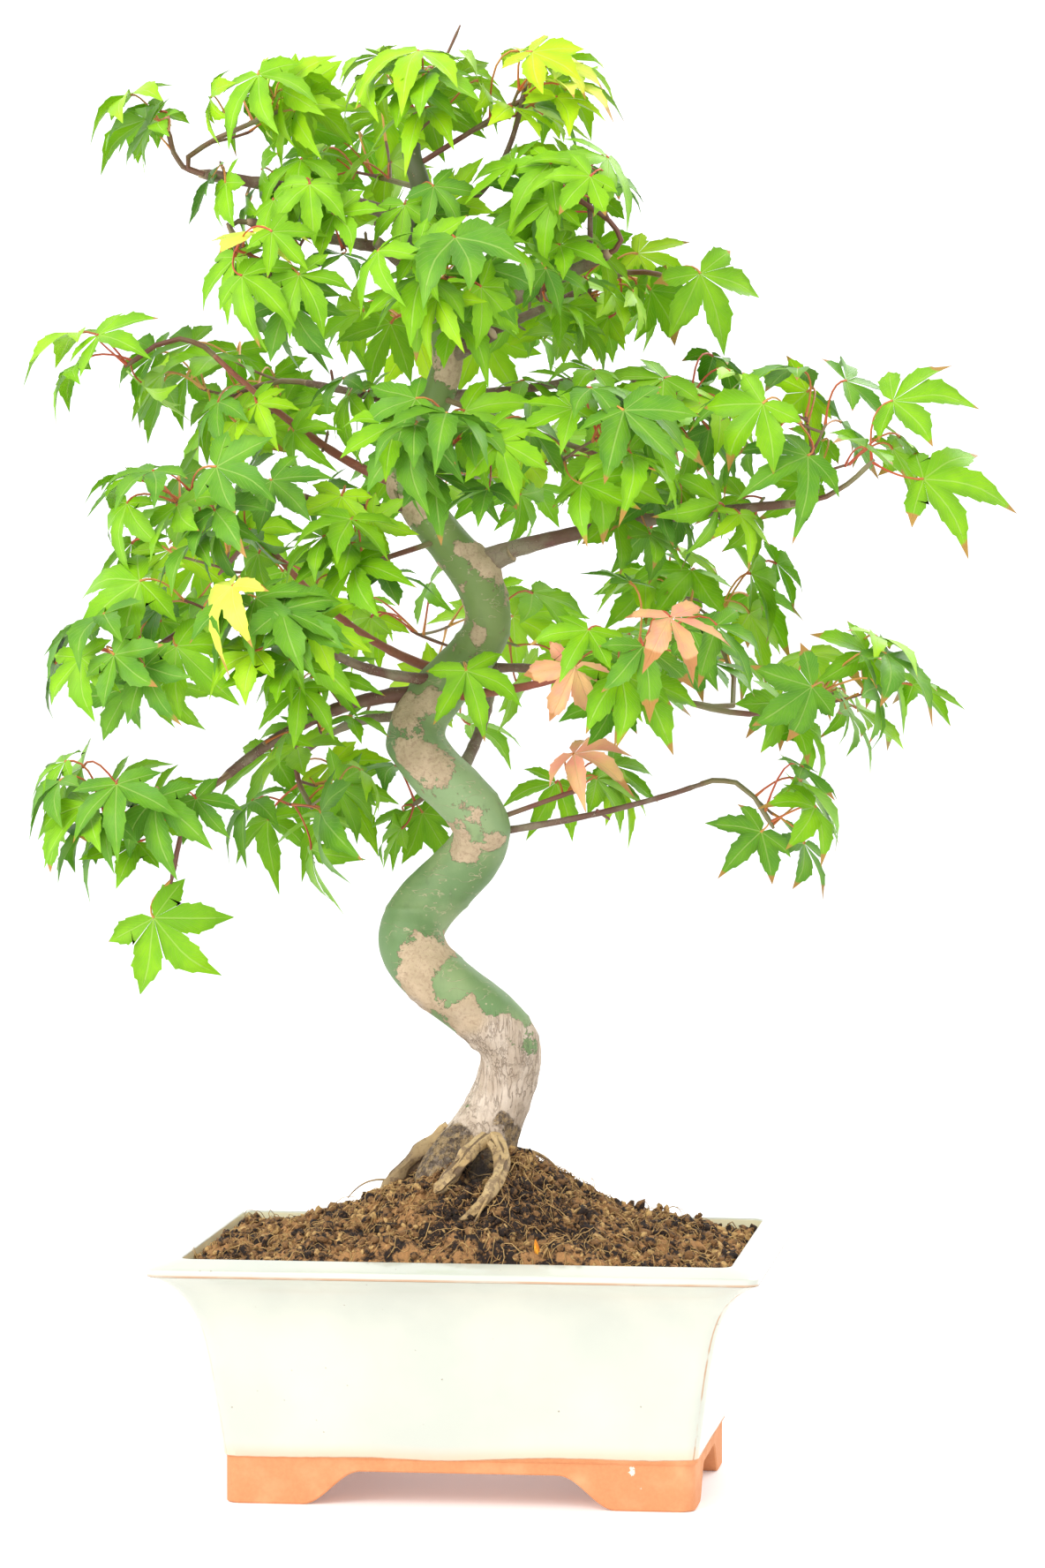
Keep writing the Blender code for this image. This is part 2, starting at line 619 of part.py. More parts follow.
def leaf_facing(place, node, middle, rng):
    """A leaf round a place: its middle lobe droops outwards and its blade faces out and up."""
    out = unit(place - node)
    flat = out * (1, 1, 0) + 0.8 * unit((place - middle) * (1, 1, 0) + 1e-6)
    heading = math.atan2(flat[1], flat[0]) + math.radians(rng.uniform(-HEADING_SPREAD, HEADING_SPREAD))
    droop = math.radians(rng.uniform(*DROOP))
    level = np.array([math.cos(heading), math.sin(heading), 0.0])
    ahead = unit(level * math.cos(droop) - np.array([0, 0, math.sin(droop)]))
    while ahead @ out < STALK_BEND:
        ahead = unit(ahead + 0.3 * out)
    outside = unit(np.array([0.45 * place[0], place[1] + rng.uniform(-0.02, 0.02), 0.0]) + 1e-6)
    face = OUTWARD * outside + np.array([0, 0, UPWARD]) + rng.normal(size=3) * FACE_SCATTER
    face = unit(face - ahead * (face @ ahead))
    length = rng.uniform(*LEAF_LENGTH)
    return place - ahead * BLADE_MIDDLE * length, ahead, face, length, node


def within(vertices, centre, half):
    return (np.linalg.norm((vertices - centre) / half, axis=1) <= 1.0).all()


def grow(name, index, number, crown):
    """Twigs and leaves of one mass: each spot of its space gets a leaf where one fits, on a stalk
    from the nearest twig, or on a new twig where that is out of reach."""
    carrier, centre, half, wanted = FOLIAGE[name]
    centre, half = np.array(centre), np.array(half)
    rng = np.random.default_rng(SEED + index)
    stem = stem_of(carrier, centre, number)
    twigs = [(stem, np.linspace(*STEM_RADIUS, len(stem)))]
    buds = buds_along(stem, lambda point: within(point[None], centre, half))
    leaves = []
    if name in BARE_TWIGS:
        twigs.append((np.array([buds[-1][0], BARE_TWIGS[name]]), TWIG_RADIUS))
        use_up(buds[-1], buds)
        crown.add(twig_mesh(twigs[-1]), name, "leaf")
    for spot, _ in zip(spots(rng), range(MOST_SPOTS)):
        if len(leaves) == wanted:
            break
        place = centre + half * spot * SPOT_SHARE
        bud = min(buds, key=lambda bud: np.linalg.norm(bud[0] - place))
        for _ in range(TRIES):
            leaf = leaf_facing(place, bud[0], centre, rng)
            twig = twig_to(leaf[0], bud[0])
            if twig:
                leaf = (*leaf[:4], twig[0][-1] - unit(twig[0][-1] - twig[0][0]) * BUD_LENGTH)
            if fits(leaf, twig, name, centre, half, crown):
                break
        else:
            continue
        use_up(bud, buds)
        if twig:
            twigs.append(twig)
            buds += buds_along(twig[0], lambda point: True)
            use_up(buds[-1], buds)
            crown.add(twig_mesh(twig), name, "twig")
        leaves.append(leaf)
        crown.add(leaf_mesh(leaf), name, "leaf")
    return twigs, leaves


def buds_along(path, allowed):
    """Where stalks and twigs can start: the bends of a path that are allowed, and just short of
    its end. Each has its direction and how many it can still take."""
    buds = []
    for k in range(1, len(path)):
        ahead = unit(path[k] - path[k - 1])
        point = path[k] - ahead * BUD_LENGTH * (k == len(path) - 1)
        if k == len(path) - 1 or allowed(point):
            buds.append([point, ahead, STALKS_A_BUD])
    return buds


def use_up(bud, buds):
    """The next stalk from the same bud starts a little further back, up to a fixed number."""
    bud[0] = bud[0] - bud[1] * STALK_SPACING
    bud[2] -= 1
    if bud[2] == 0 and len(buds) > 1:
        buds[:] = [other for other in buds if other is not bud]


def twig_to(base, node):
    """A straight twig towards a blade that is out of a stalk's reach."""
    gap = np.linalg.norm(base - node)
    if gap <= STALK_REACH:
        return None
    ahead = (base - node) / gap
    return np.array([node, node + ahead * (gap - STALK_LENGTH + BUD_LENGTH)]), TWIG_RADIUS


def fits(leaf, twig, name, centre, half, crown):
    """Whether a leaf and its twig stay in their space and clear of limbs and of other masses, and
    its blade clear of its own mass's leaves."""
    base, ahead, face, length, node = leaf
    shape = leaf_mesh(leaf, SKIN)
    stalk = base - node
    if np.linalg.norm(stalk) < STALK_LEAST or ahead @ unit(stalk) < STALK_BEND:
        return False
    if not within(shape[0], centre, half) or crown.touches(shape, skip=name):
        return False
    if twig and crown.touches(twig_mesh(twig, SKIN), skip=name):
        return False
    if twig and crown.touches(twig_mesh(twig), own=name):
        return False
    blade = leaf_mesh((base, ahead, face, length, base - ahead * STALK_LEAST * 0.5))
    return not crown.touches(blade, own=name)


# Assembly


def join_mass(name, stem, others, finish, trunk_skin):
    """One solid: a Boolean union of the stem with a collection of its twigs and leaves."""
    made = mesh_object(name, *stem, finish)
    if trunk_skin:
        boolean(made, trunk_skin, "DIFFERENCE")
    pieces = bpy.data.collections.new(name + "_pieces")
    bpy.context.scene.collection.children.link(pieces)
    for k, shape in enumerate(others):
        mesh_object(f"{name}_{k}", *shape, finish, pieces)
    union = made.modifiers.new("Union", "BOOLEAN")
    union.operation = "UNION"
    union.operand_type = "COLLECTION"
    union.collection = pieces
    union.solver = "MANIFOLD"
    joined = evaluated_mesh(made)
    made.modifiers.clear()
    made.data = joined
    for piece in list(pieces.objects):
        bpy.data.objects.remove(piece)
    bpy.data.collections.remove(pieces)
    keep_one_body(made)
    return made


def keep_one_body(made):
    """Fills sealed hollows and drops loose scraps: only the shell with the most faces stays."""
    work = bmesh.new()
    work.from_mesh(made.data)
    bmesh.ops.remove_doubles(work, verts=work.verts, dist=MERGE)
    bmesh.ops.triangulate(work, faces=work.faces)
    left = set(work.faces)
    shells = []
    while left:
        shell, edge = [], [left.pop()]
        while edge:
            face = edge.pop()
            shell.append(face)
            whole = [link.link_faces for link in face.edges if len(link.link_faces) == 2]
            beside = {other for pair in whole for other in pair} & left
            left -= beside
            edge.extend(beside)
        shells.append(shell)
    shells.sort(key=len)
    scraps = [face for shell in shells[:-1] for face in shell]
    bmesh.ops.delete(work, geom=scraps, context="FACES")
    work.to_mesh(made.data)
    work.free()


def make_foliage(crown, finishes, trunk_skin):
    """Lone leaves first, then each mass in turn, in what room is left."""
    carriers = [lone[0][0] for lone in LONE_LEAVES.values()] + [row[0] for row in FOLIAGE.values()]
    sides = {carrier: [-1, 1] if carriers.count(carrier) > 1 else [0] for carrier in set(carriers)}
    for name, lone in LONE_LEAVES.items():
        carrier = lone[0][0]
        number = sides[carrier].pop()
        heart = np.mean([leaf[1] for leaf in lone], axis=0)
        back = unit(heart - bough_path(BOUGHS[carrier])[-1]) if carrier in BOUGHS else None
        heart = heart - STALK_LENGTH * 0.8 * (unit((0, -1, 0)) if back is None else back)
        stem = stem_of(carrier, heart, number)
        twigs = [(stem, np.linspace(*STEM_RADIUS, len(stem)))]
        node = stem[-1] - unit(stem[-1] - stem[-2]) * BUD_LENGTH
        leaves = []
        for _, base, ahead, face, length in lone:
            ahead = unit(ahead)
            face = unit(np.array(face) - ahead * (np.array(face) @ ahead))
            leaves.append((np.array(base), ahead, face, length, node))
        add_mass(name, twigs, leaves, carrier, crown, finishes, trunk_skin)
    for index, (name, (carrier, _, _, _)) in enumerate(FOLIAGE.items()):
        number = sides[carrier].pop()
        twigs, leaves = grow(name, index, number, crown)
        crown.forget(name)
        add_mass(name, twigs, leaves, carrier, crown, finishes, trunk_skin)
        print(name, len(leaves), "leaves of", FOLIAGE[name][3], "on", len(twigs), "twigs")


def add_mass(name, twigs, leaves, carrier, crown, finishes, trunk_skin):
    shapes = [twig_mesh(twig) for twig in twigs] + [leaf_mesh(leaf) for leaf in leaves]
    on_trunk = carrier not in BOUGHS and carrier is not None
    finish = finishes[name in LIME_MASSES]
    join_mass(name, shapes[0], shapes[1:], finish, trunk_skin if on_trunk else None)
    for twig in twigs:
        crown.add(twig_mesh(twig), name, "twig")
    for leaf in leaves:
        crown.add(leaf_mesh(leaf), name, "leaf")


def centre_on_footprint():
    """Hangs everything on one empty, placed so that the origin is under the middle of the whole."""
    anchor = bpy.data.objects.new("bonsai", None)
    bpy.context.scene.collection.objects.link(anchor)
    corners = []
    for made in bpy.context.scene.objects:
        if made.type != "MESH":
            continue
        made.parent = anchor
        if not made.hide_render:
            mesh = evaluated_mesh(made)
            points = np.empty(len(mesh.vertices) * 3, np.float32)
            mesh.vertices.foreach_get("co", points)
            corners.append(points.reshape(-1, 3))
            bpy.data.meshes.remove(mesh)
    corners = np.concatenate(corners)
    middle = (corners.min(axis=0) + corners.max(axis=0)) / 2
    anchor.location = (-middle[0], -middle[1], 0.0)


def main():
    for old in list(bpy.data.objects):
        bpy.data.objects.remove(old)
    glaze = material("cream glaze", CREAM_GLAZE, 0.18, coat=0.6)
    bare_clay = material("terracotta", TERRACOTTA, 0.75)
    earth = material("potting soil", SOIL_BROWN, 0.95)
    bark = material("green bark", TRUNK_GREEN, 0.6)
    root_bark = material("root bark", ROOT_TAN, 0.8)
    bough_bark = material("red-brown bark", BOUGH_BROWN, 0.6)
    leaf_green = material("green leaf", LEAF_GREEN, 0.4)
    leaf_lime = material("lime leaf", LEAF_LIME, 0.4)

    pot = make_pot(glaze, bare_clay)
    soil = make_soil(earth)
    trunk = make_trunk(bark)
    trunk_skin = as_cutter(mesh_object("trunk_clearance", *trunk_tube(CLEARANCE), bark))
    boolean(soil, trunk_skin, "DIFFERENCE")
    skins = [trunk_skin]
    limbs = [trunk_tube(SKIN)]
    for name, root in ROOTS.items():
        made = mesh_object(name, *root_tube(root, 0.0), root_bark)
        smooth(made, 60.0)
        for skin in skins:
            boolean(made, skin, "DIFFERENCE")
        skin = as_cutter(mesh_object(name + "_clearance", *root_tube(root, CLEARANCE), root_bark))
        boolean(soil, skin, "DIFFERENCE")
        skins.append(skin)
    for name, bough in BOUGHS.items():
        made = mesh_object(name, *bough_tube(bough, 0.0), bough_bark)
        smooth(made, 60.0)
        boolean(made, trunk_skin, "DIFFERENCE")
        limbs.append(bough_tube(bough, SKIN))
    make_foliage(Crown(limbs), (leaf_green, leaf_lime), trunk_skin)
    centre_on_footprint()


main()
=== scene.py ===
"""The looks of a maple bonsai: bark, boughs, twigs, leaves, soil, roots and a glazed pot.

Every piece is worked out round the pot's own centre, in metres, +Z up, with the pot's front
towards -Y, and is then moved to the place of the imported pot.
"""

import math

import bpy
import numpy as np
from bpy.props import FloatProperty, FloatVectorProperty, IntProperty, PointerProperty
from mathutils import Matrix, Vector
from mathutils.bvhtree import BVHTree


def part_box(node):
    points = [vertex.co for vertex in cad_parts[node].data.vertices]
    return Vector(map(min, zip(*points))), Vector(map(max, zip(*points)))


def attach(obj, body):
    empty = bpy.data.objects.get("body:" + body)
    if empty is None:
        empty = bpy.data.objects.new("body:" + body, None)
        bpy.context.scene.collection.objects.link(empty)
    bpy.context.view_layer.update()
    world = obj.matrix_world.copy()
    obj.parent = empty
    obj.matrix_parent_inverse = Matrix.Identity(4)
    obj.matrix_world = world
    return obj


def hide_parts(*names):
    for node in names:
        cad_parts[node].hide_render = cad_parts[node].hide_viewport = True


bl_info = {
    "name": "Maple bonsai",
    "version": (1, 0, 0),
    "blender": (4, 5, 0),
    "location": "3D View > Sidebar > Bonsai",
    "description": "Bark, leaves, soil and glaze for a maple bonsai in a footed pot",
    "category": "Add Mesh",
}

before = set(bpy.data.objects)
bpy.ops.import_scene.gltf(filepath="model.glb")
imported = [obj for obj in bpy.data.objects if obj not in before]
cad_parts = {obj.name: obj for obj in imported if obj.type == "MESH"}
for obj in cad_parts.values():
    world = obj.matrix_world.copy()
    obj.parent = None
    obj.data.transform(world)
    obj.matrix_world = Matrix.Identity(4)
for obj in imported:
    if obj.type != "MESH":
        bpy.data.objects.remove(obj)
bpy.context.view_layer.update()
POT_LOW, POT_HIGH = (np.array(corner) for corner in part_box("pot"))
CENTRE = np.array([*(POT_LOW + POT_HIGH)[:2] / 2, 0.0])
FOLIAGE_NODES = sorted(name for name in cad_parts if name.startswith("foliage"))

# Sizes of the solids: pot and soil
RIM_HALF = (0.125, 0.092)
RIM_TOP = 0.1030
LIP_TOP = 0.0995
LIP_UNDERSIDE = 0.0965
RIM_WIDTH = 0.0125
WALL = 0.0075
INNER_TOP = 0.0935
FLARE = 0.0165
FLARE_FALL = 0.009
WALL_SLOPE = 0.138
BAND_TOP = 0.0200
BAND_SET_BACK = 0.0010
FLOOR_TOP = 0.0240
POT_CORNER = 0.0060
ARCH_HEIGHT = 0.0140
FRONT_ARCH = (0.0405, 0.0650)
SIDE_ARCH = (0.0220, 0.0400)
SOIL_LEVEL = 0.0975
MOUND_HEIGHT = 0.0430
MOUND_CENTRE = (0.003, -0.002)
MOUND_HALF = (0.050, 0.048)
MOUND_STEEPNESS = 2.4
SOIL_LUMP = 0.0018
LUMP_TURNS = (165.0, 180.0)
LUMP_SWAY = (1.2, 90.0)

# Sizes of the solids: trunk, roots and boughs
TRUNK_TURNS = (
    (-0.003, 0.127, 0.0119),
    (0.0135, 0.181, 0.0124),
    (-0.0285, 0.229, 0.0137),
    (0.001, 0.274, 0.0118),
    (-0.026, 0.314, 0.0118),
    (0.004, 0.363, 0.0094),
    (-0.029, 0.425, 0.0081),
    (-0.013, 0.472, 0.0061),
    (-0.027, 0.518, 0.0048),
    (-0.024, 0.539, 0.0043),
    (-0.028, 0.558, 0.0038),
)
TURNS = np.array(TRUNK_TURNS)
TRUNK_WINDING = 0.0070
TRUNK_SIDES = 10
TRUNK_STEPS = 4
TRUNK_SPAN = 0.045
FLARE_WIDTH = 0.0130
FLARE_REACH = 0.0140
FLARE_RIDGES = 5
RIDGE_RISE = 0.22
RIDGE_TURN = 0.8
ROOTS = {
    "root_left_ridge": ((-0.010, 0.000), (-0.025, -0.003), (-0.041, -0.006), 0.0066, 0.0030, 0.001),
    "root_left_arch": ((0.004, -0.012), (-0.004, -0.029), (-0.014, -0.034), 0.0034, 0.0024, 0.003),
    "root_front": ((0.007, -0.012), (0.023, -0.032), (-0.001, -0.052), 0.0034, 0.0018, 0.001),
}
ROOT_START = 0.1455
ROOT_LIFT = 0.2
BOUGHS = {
    "bough_low_left": (0.330, (-0.062, -0.008, 0.333), (-0.103, -0.028, 0.296), 0.0032, 0.0019),
    "bough_lower_left": (0.320, (-0.056, 0.022, 0.323), (-0.079, 0.038, 0.304), 0.0024, 0.0015),
    "bough_left_fork": (0.336, (-0.054, -0.026, 0.337), (-0.070, -0.046, 0.363), 0.0024, 0.0015),
    "bough_left_red": (0.338, (-0.057, 0.030, 0.348), (-0.092, 0.048, 0.386), 0.0021, 0.0013),
    "bough_mid_left": (0.410, (-0.050, -0.018, 0.404), (-0.069, -0.034, 0.413), 0.0022, 0.0015),
    "bough_far_left": (0.417, (-0.059, 0.006, 0.421), (-0.112, -0.008, 0.473), 0.0023, 0.0011),
    "bough_upper_mid_left": (0.447, (-0.048, 0.016, 0.455), (-0.078, 0.030, 0.460), 0.0021, 0.0014),
    "bough_high_left_low": (0.513, (-0.051, -0.008, 0.517), (-0.094, -0.020, 0.526), 0.0027, 0.0018),
    "bough_high_left_top": (0.526, (-0.053, 0.004, 0.537), (-0.119, 0.010, 0.547), 0.0030, 0.0023),
    "bough_right_main": (0.384, (0.044, -0.006, 0.403), (0.134, -0.014, 0.410), 0.0039, 0.0017),
    "bough_right_inner": (0.454, (0.015, 0.018, 0.455), (0.047, 0.034, 0.463), 0.0024, 0.0015),
    "bough_high_right_thick": (0.483, (0.018, -0.004, 0.494), (0.056, -0.010, 0.513), 0.0037, 0.0023),
    "bough_high_right_low": (0.473, (0.019, 0.022, 0.488), (0.049, 0.038, 0.503), 0.0024, 0.0014),
    "bough_right_dark": (0.340, (0.042, 0.014, 0.345), (0.089, 0.026, 0.325), 0.0020, 0.0012),
    "bough_right_red": (0.329, (0.027, -0.012, 0.331), (0.061, -0.026, 0.348), 0.0021, 0.0013),
    "bough_low_right": (0.272, (0.054, 0.010, 0.279), (0.095, 0.006, 0.294), 0.0015, 0.0010),
    "bough_rear": (0.292, (0.000, 0.042, 0.316), (-0.002, 0.066, 0.340), 0.0028, 0.0016),
}
BOUGH_SIDES = 5
BOUGH_STEPS = 4
COLLAR = 0.35
COLLAR_FALL = 9.0

# Foliage: the bough or the height on the trunk that carries it, or None for the trunk's tip, the
# middle of its space, the half sizes of that space, and its leaves
FOLIAGE = {
    "foliage_low_left_outer": ("bough_low_left", (-0.141, -0.038, 0.281), (0.051, 0.055, 0.040), 11),
    "foliage_low_left_inner": ("bough_lower_left", (-0.075, 0.030, 0.280), (0.050, 0.060, 0.042), 10),
    "foliage_left_lower_outer": ("bough_left_fork", (-0.133, -0.050, 0.347), (0.052, 0.057, 0.047), 11),
    "foliage_left_lower_inner": ("bough_left_fork", (-0.072, -0.070, 0.358), (0.041, 0.047, 0.039), 8),
    "foliage_left_middle_rear": ("bough_left_red", (-0.122, 0.072, 0.378), (0.060, 0.062, 0.050), 11),
    "foliage_left_middle_front": ("bough_mid_left", (-0.104, -0.054, 0.410), (0.056, 0.058, 0.040), 11),
    "foliage_far_left": ("bough_far_left", (-0.147, -0.012, 0.466), (0.048, 0.039, 0.030), 3),
    "foliage_left_upper": ("bough_upper_mid_left", (-0.109, 0.032, 0.454), (0.056, 0.053, 0.040), 11),
    "foliage_high_left_low": ("bough_high_left_low", (-0.075, -0.034, 0.497), (0.040, 0.046, 0.039), 8),
    "foliage_top_left_outer": ("bough_high_left_top", (-0.132, 0.008, 0.566), (0.039, 0.039, 0.029), 4),
    "foliage_top_left": ("bough_high_left_top", (-0.082, 0.000, 0.573), (0.040, 0.053, 0.032), 9),
    "foliage_top_left_rear": (0.540, (-0.054, 0.062, 0.548), (0.043, 0.050, 0.037), 8),
    "foliage_top_centre": (None, (-0.022, -0.005, 0.578), (0.041, 0.053, 0.030), 9),
    "foliage_top_right": (0.549, (0.022, -0.005, 0.578), (0.048, 0.048, 0.030), 9),
    "foliage_high_right": ("bough_high_right_thick", (0.040, -0.016, 0.537), (0.048, 0.054, 0.035), 10),
    "foliage_high_right_rear": ("bough_high_right_low", (0.040, 0.074, 0.500), (0.051, 0.055, 0.039), 10),
    "foliage_front_high": (0.498, (-0.004, -0.064, 0.502), (0.048, 0.054, 0.040), 9),
    "foliage_front_middle": (0.439, (0.000, -0.074, 0.434), (0.050, 0.056, 0.038), 11),
    "foliage_left_front": (0.395, (-0.044, -0.046, 0.384), (0.036, 0.043, 0.039), 5),
    "foliage_right_upper": ("bough_right_inner", (0.076, 0.038, 0.446), (0.057, 0.060, 0.037), 11),
    "foliage_right_front": (0.454, (0.062, -0.060, 0.428), (0.049, 0.058, 0.037), 10),
    "foliage_right_outer": ("bough_right_main", (0.139, -0.012, 0.434), (0.056, 0.060, 0.049), 10),
    "foliage_right_lower_outer": ("bough_right_dark", (0.147, 0.010, 0.331), (0.057, 0.064, 0.040), 11),
    "foliage_right_lower_rear": ("bough_right_dark", (0.087, 0.084, 0.362), (0.057, 0.058, 0.040), 11),
    "foliage_right_lower_inner": ("bough_right_red", (0.074, -0.054, 0.349), (0.056, 0.056, 0.044), 10),
    "foliage_low_right": ("bough_low_right", (0.123, 0.004, 0.275), (0.041, 0.046, 0.041), 5),
    "foliage_low_right_inner": (0.276, (0.040, 0.012, 0.290), (0.041, 0.034, 0.034), 4),
    "foliage_trunk_rear": (0.294, (-0.034, 0.044, 0.281), (0.037, 0.037, 0.036), 3),
    "foliage_rear_low": ("bough_rear", (-0.023, 0.122, 0.343), (0.070, 0.064, 0.050), 10),
    "foliage_rear_middle": (0.420, (-0.010, 0.122, 0.420), (0.070, 0.066, 0.044), 10),
    "foliage_rear_high": (0.479, (-0.028, 0.104, 0.484), (0.062, 0.060, 0.041), 10),
}

# Lone leaves: carrier, blade's base, where the middle lobe points, where the blade faces, lobe length
LONE_LEAVES = {
    "foliage_low_left_hanging": (
        ("bough_low_left", (-0.132, -0.030, 0.238), (0.60, -0.15, -0.75), (-0.1, -1.0, 0.1), 0.036),
    ),
    "foliage_lone_right": (
        ("bough_high_right_low", (0.090, 0.024, 0.505), (0.5, -0.2, -0.9), (0.3, -0.9, 0.5), 0.033),
    ),
    "foliage_trunk_front": (
        (0.335, (-0.002, -0.024, 0.341), (0.35, -0.3, -0.9), (0.1, -1.0, 0.35), 0.028),
    ),
    "foliage_right_tip": (
        ("bough_right_main", (0.186, -0.020, 0.420), (1.0, -0.1, 0.0), (0.05, -0.75, 0.65), 0.037),
        ("bough_right_main", (0.173, -0.014, 0.452), (1.0, -0.2, 0.15), (0.0, -0.7, 0.7), 0.033),
    ),
}

# Bare twigs: the mass that each belongs to, and its tip
BARE_TWIGS = {"foliage_top_centre": (-0.007, -0.004, 0.607)}

# Short side shoots along boughs, which only this file has: the bough, the middle of their space, its
# half sizes, and their leaves
SPRAYS = {
    "spray_high_left_top": ("bough_high_left_top", (-0.078, 0.000, 0.538), (0.046, 0.046, 0.030), 8),
    "spray_high_left_low": ("bough_high_left_low", (-0.066, -0.026, 0.519), (0.042, 0.044, 0.028), 7),
    "spray_high_right": ("bough_high_right_thick", (0.036, -0.014, 0.500), (0.036, 0.040, 0.026), 6),
    "spray_high_right_low": ("bough_high_right_low", (0.036, 0.034, 0.488), (0.034, 0.036, 0.026), 5),
    "spray_right_main": ("bough_right_main", (0.078, -0.014, 0.400), (0.056, 0.044, 0.030), 10),
    "spray_mid_left": ("bough_mid_left", (-0.052, -0.022, 0.404), (0.034, 0.040, 0.028), 5),
    "spray_upper_left": ("bough_upper_mid_left", (-0.044, 0.008, 0.447), (0.036, 0.036, 0.022), 4),
    "spray_far_left": ("bough_far_left", (-0.084, -0.010, 0.440), (0.036, 0.036, 0.024), 4),
    "spray_right_inner": ("bough_right_inner", (0.036, 0.012, 0.452), (0.036, 0.036, 0.022), 5),
    "spray_low_left": ("bough_low_left", (-0.070, -0.018, 0.327), (0.044, 0.042, 0.034), 9),
    "spray_top_front": ("bough_high_left_top", (-0.020, -0.014, 0.536), (0.034, 0.030, 0.030), 4),
    "spray_low_right": ("bough_low_right", (0.050, -0.020, 0.288), (0.016, 0.036, 0.020), 2),
    "spray_right_dark": ("bough_right_dark", (0.060, 0.020, 0.336), (0.036, 0.036, 0.028), 5),
}
SPUR_SPACING = 3
SPUR_REACH = (0.0025, 0.0075)

# Masses of younger leaves
LIME_MASSES = ("foliage_top_right", "foliage_far_left")

# Growth: the solids' rule, and two seeds for what only this file grows
NOTCH = 0.42
LOBE_ANGLES = (-104.0, -50.0, 0.0, 50.0, 104.0)
LOBE_LENGTHS = (0.62, 0.92, 1.0, 0.92, 0.62)
LOBE_DROOP = 0.20
LEAF_THICKNESS = 0.0009
LEAF_LENGTH = (0.026, 0.037)
STALK_LENGTH = 0.020
STALK_RADIUS = 0.00055
STALK_FOOT = 0.00030
HEEL = 1.6
STALK_REACH = 0.032
STALK_LEAST = 0.010
STEM_RADIUS = (0.0013, 0.0011)
TWIG_RADIUS = (0.0007, 0.0006)
STEM_STEPS = 3
STEM_KNEE = 0.45
STEM_START = 0.0020
BUD_LENGTH = 0.0015
BOUGH_TIP_OFFSET = 0.0015
CLEARANCE = 0.0003
SKIN = 0.0004
SEED = 52
FINER_SEED = 152
SPRAY_SEED = 252
HEADING_SPREAD = 50.0
DROOP = (5.0, 62.0)
FACE_SCATTER = 0.28
OUTWARD = 0.9
UPWARD = 0.65
TRIES = 16
MOST_SPOTS = 160
SPOT_SHARE = 0.72
STALK_BEND = 0.25
STALKS_A_BUD = 3
STALK_SPACING = 0.0016
BLADE_MIDDLE = 0.3

# Detail of the pot
CORNER_LINES = 5
ARC_STEPS = 4
FOOT_EDGE = 0.0006
# Pale chips on the front right foot: x, height and reach
CHIPS = ((0.0715, 0.0165, 0.0034), (0.0745, 0.01, 0.0028))
WALL_ROWS = 34
INNER_ROWS = 8

# Detail of the soil
SOIL_CELL = 0.0009
SOIL_SKIRT = 0.085
SOIL_DIP = 0.003
# How steeply the soil falls to the pot's wall
EDGE_RISE = 1.9
# Hollow under the roots
HOLLOW = (0.003, -0.027)
HOLLOW_REACH = 0.0075
HOLLOW_DEPTH = 0.004
# Painted shadow in the hollow under the arching root, and painted shade over the front of the mound: point
# and reach
ROOT_SHADOW = ((0.004, -0.024, 0.1345), 0.016)
FRONT_SOIL_SHADE = ((0.018, -0.046, 0.118), 0.05)
# Colour of the painted shadow under the arching root
SHADOW_BLACK = (0.01, 0.006, 0.005)
# Loose crumbs: name, material, share of all, middle size, and flatness
CRUMBS = (
    ("crumbs_dark", "damp_and_shade", 0.62, 0.0011, 1.0),
    ("crumbs_dry", "dry", 0.24, 0.0009, 0.8),
    ("flakes_dry", "dry", 0.1, 0.0016, 0.28),
    ("flakes_straw", "straw", 0.04, 0.0013, 0.3),
)
# Fibres: name, material, share of all, greatest length, and thickness
FIBRES = (
    ("fibres_tan", "straw", 0.35, 0.02, 0.00032),
    ("fibres_brown", "dry", 0.65, 0.013, 0.00036),
)
FIBRE_STEPS = 8
# Orange scrap of a leaf: start, knee, tip, and half width
SCRAP = ((0.035, -0.072, 0.102), (0.033, -0.0715, 0.1075), (0.0325, -0.071, 0.112))
SCRAP_WIDTH = 0.0013

# Detail of the bark, roots and twigs
TRUNK_ROWS = 560
TRUNK_ROUND = 96
ROOT_STEPS = 44
ROOT_ROUND = 18
LIMB_STEPS = 34
LIMB_ROUND = 12
STUB_COLLAR = 0.25
BUD_SPACING = 0.0135
BUD_SWELLING = 0.0011
TWIG_STEPS = 9
TWIG_SINK = 0.003
TWIG_BOW = 0.035
STALK_STEPS = 7
# Stalk: its radius at the middle, and how much more that is at both ends
STALK_RADII = (0.00042, 0.0003)
FINER_SHARE = 0.84

# Soil that clings to roots and bark: its colour, up to where it covers all, and how far it reaches
EARTH = (0.15, 0.092, 0.054)
DUST_SOLID = 0.004
DUST_REACH = 0.019
# The left root is darker round a point, and green bark is paler round another: point and reach
DARK_ROOT = ((-0.028, -0.004, 0.132), 0.03)
PALE_BARK = ((0.0, -0.02, 0.292), 0.045)
# Green bark changes up the trunk: between which heights, how far, and to what colour. The top band is darker
# and browner, partly the bark's own colour and partly painted shade under the crown
BARK_BANDS_AND_SHADE = (
    (0.315, 0.355, 0.6, (0.15, 0.215, 0.035)),
    (0.475, 0.505, 0.8, (0.1, 0.098, 0.058)),
)
# Below this height cork covers the trunk
CORK_FOOT = 0.196
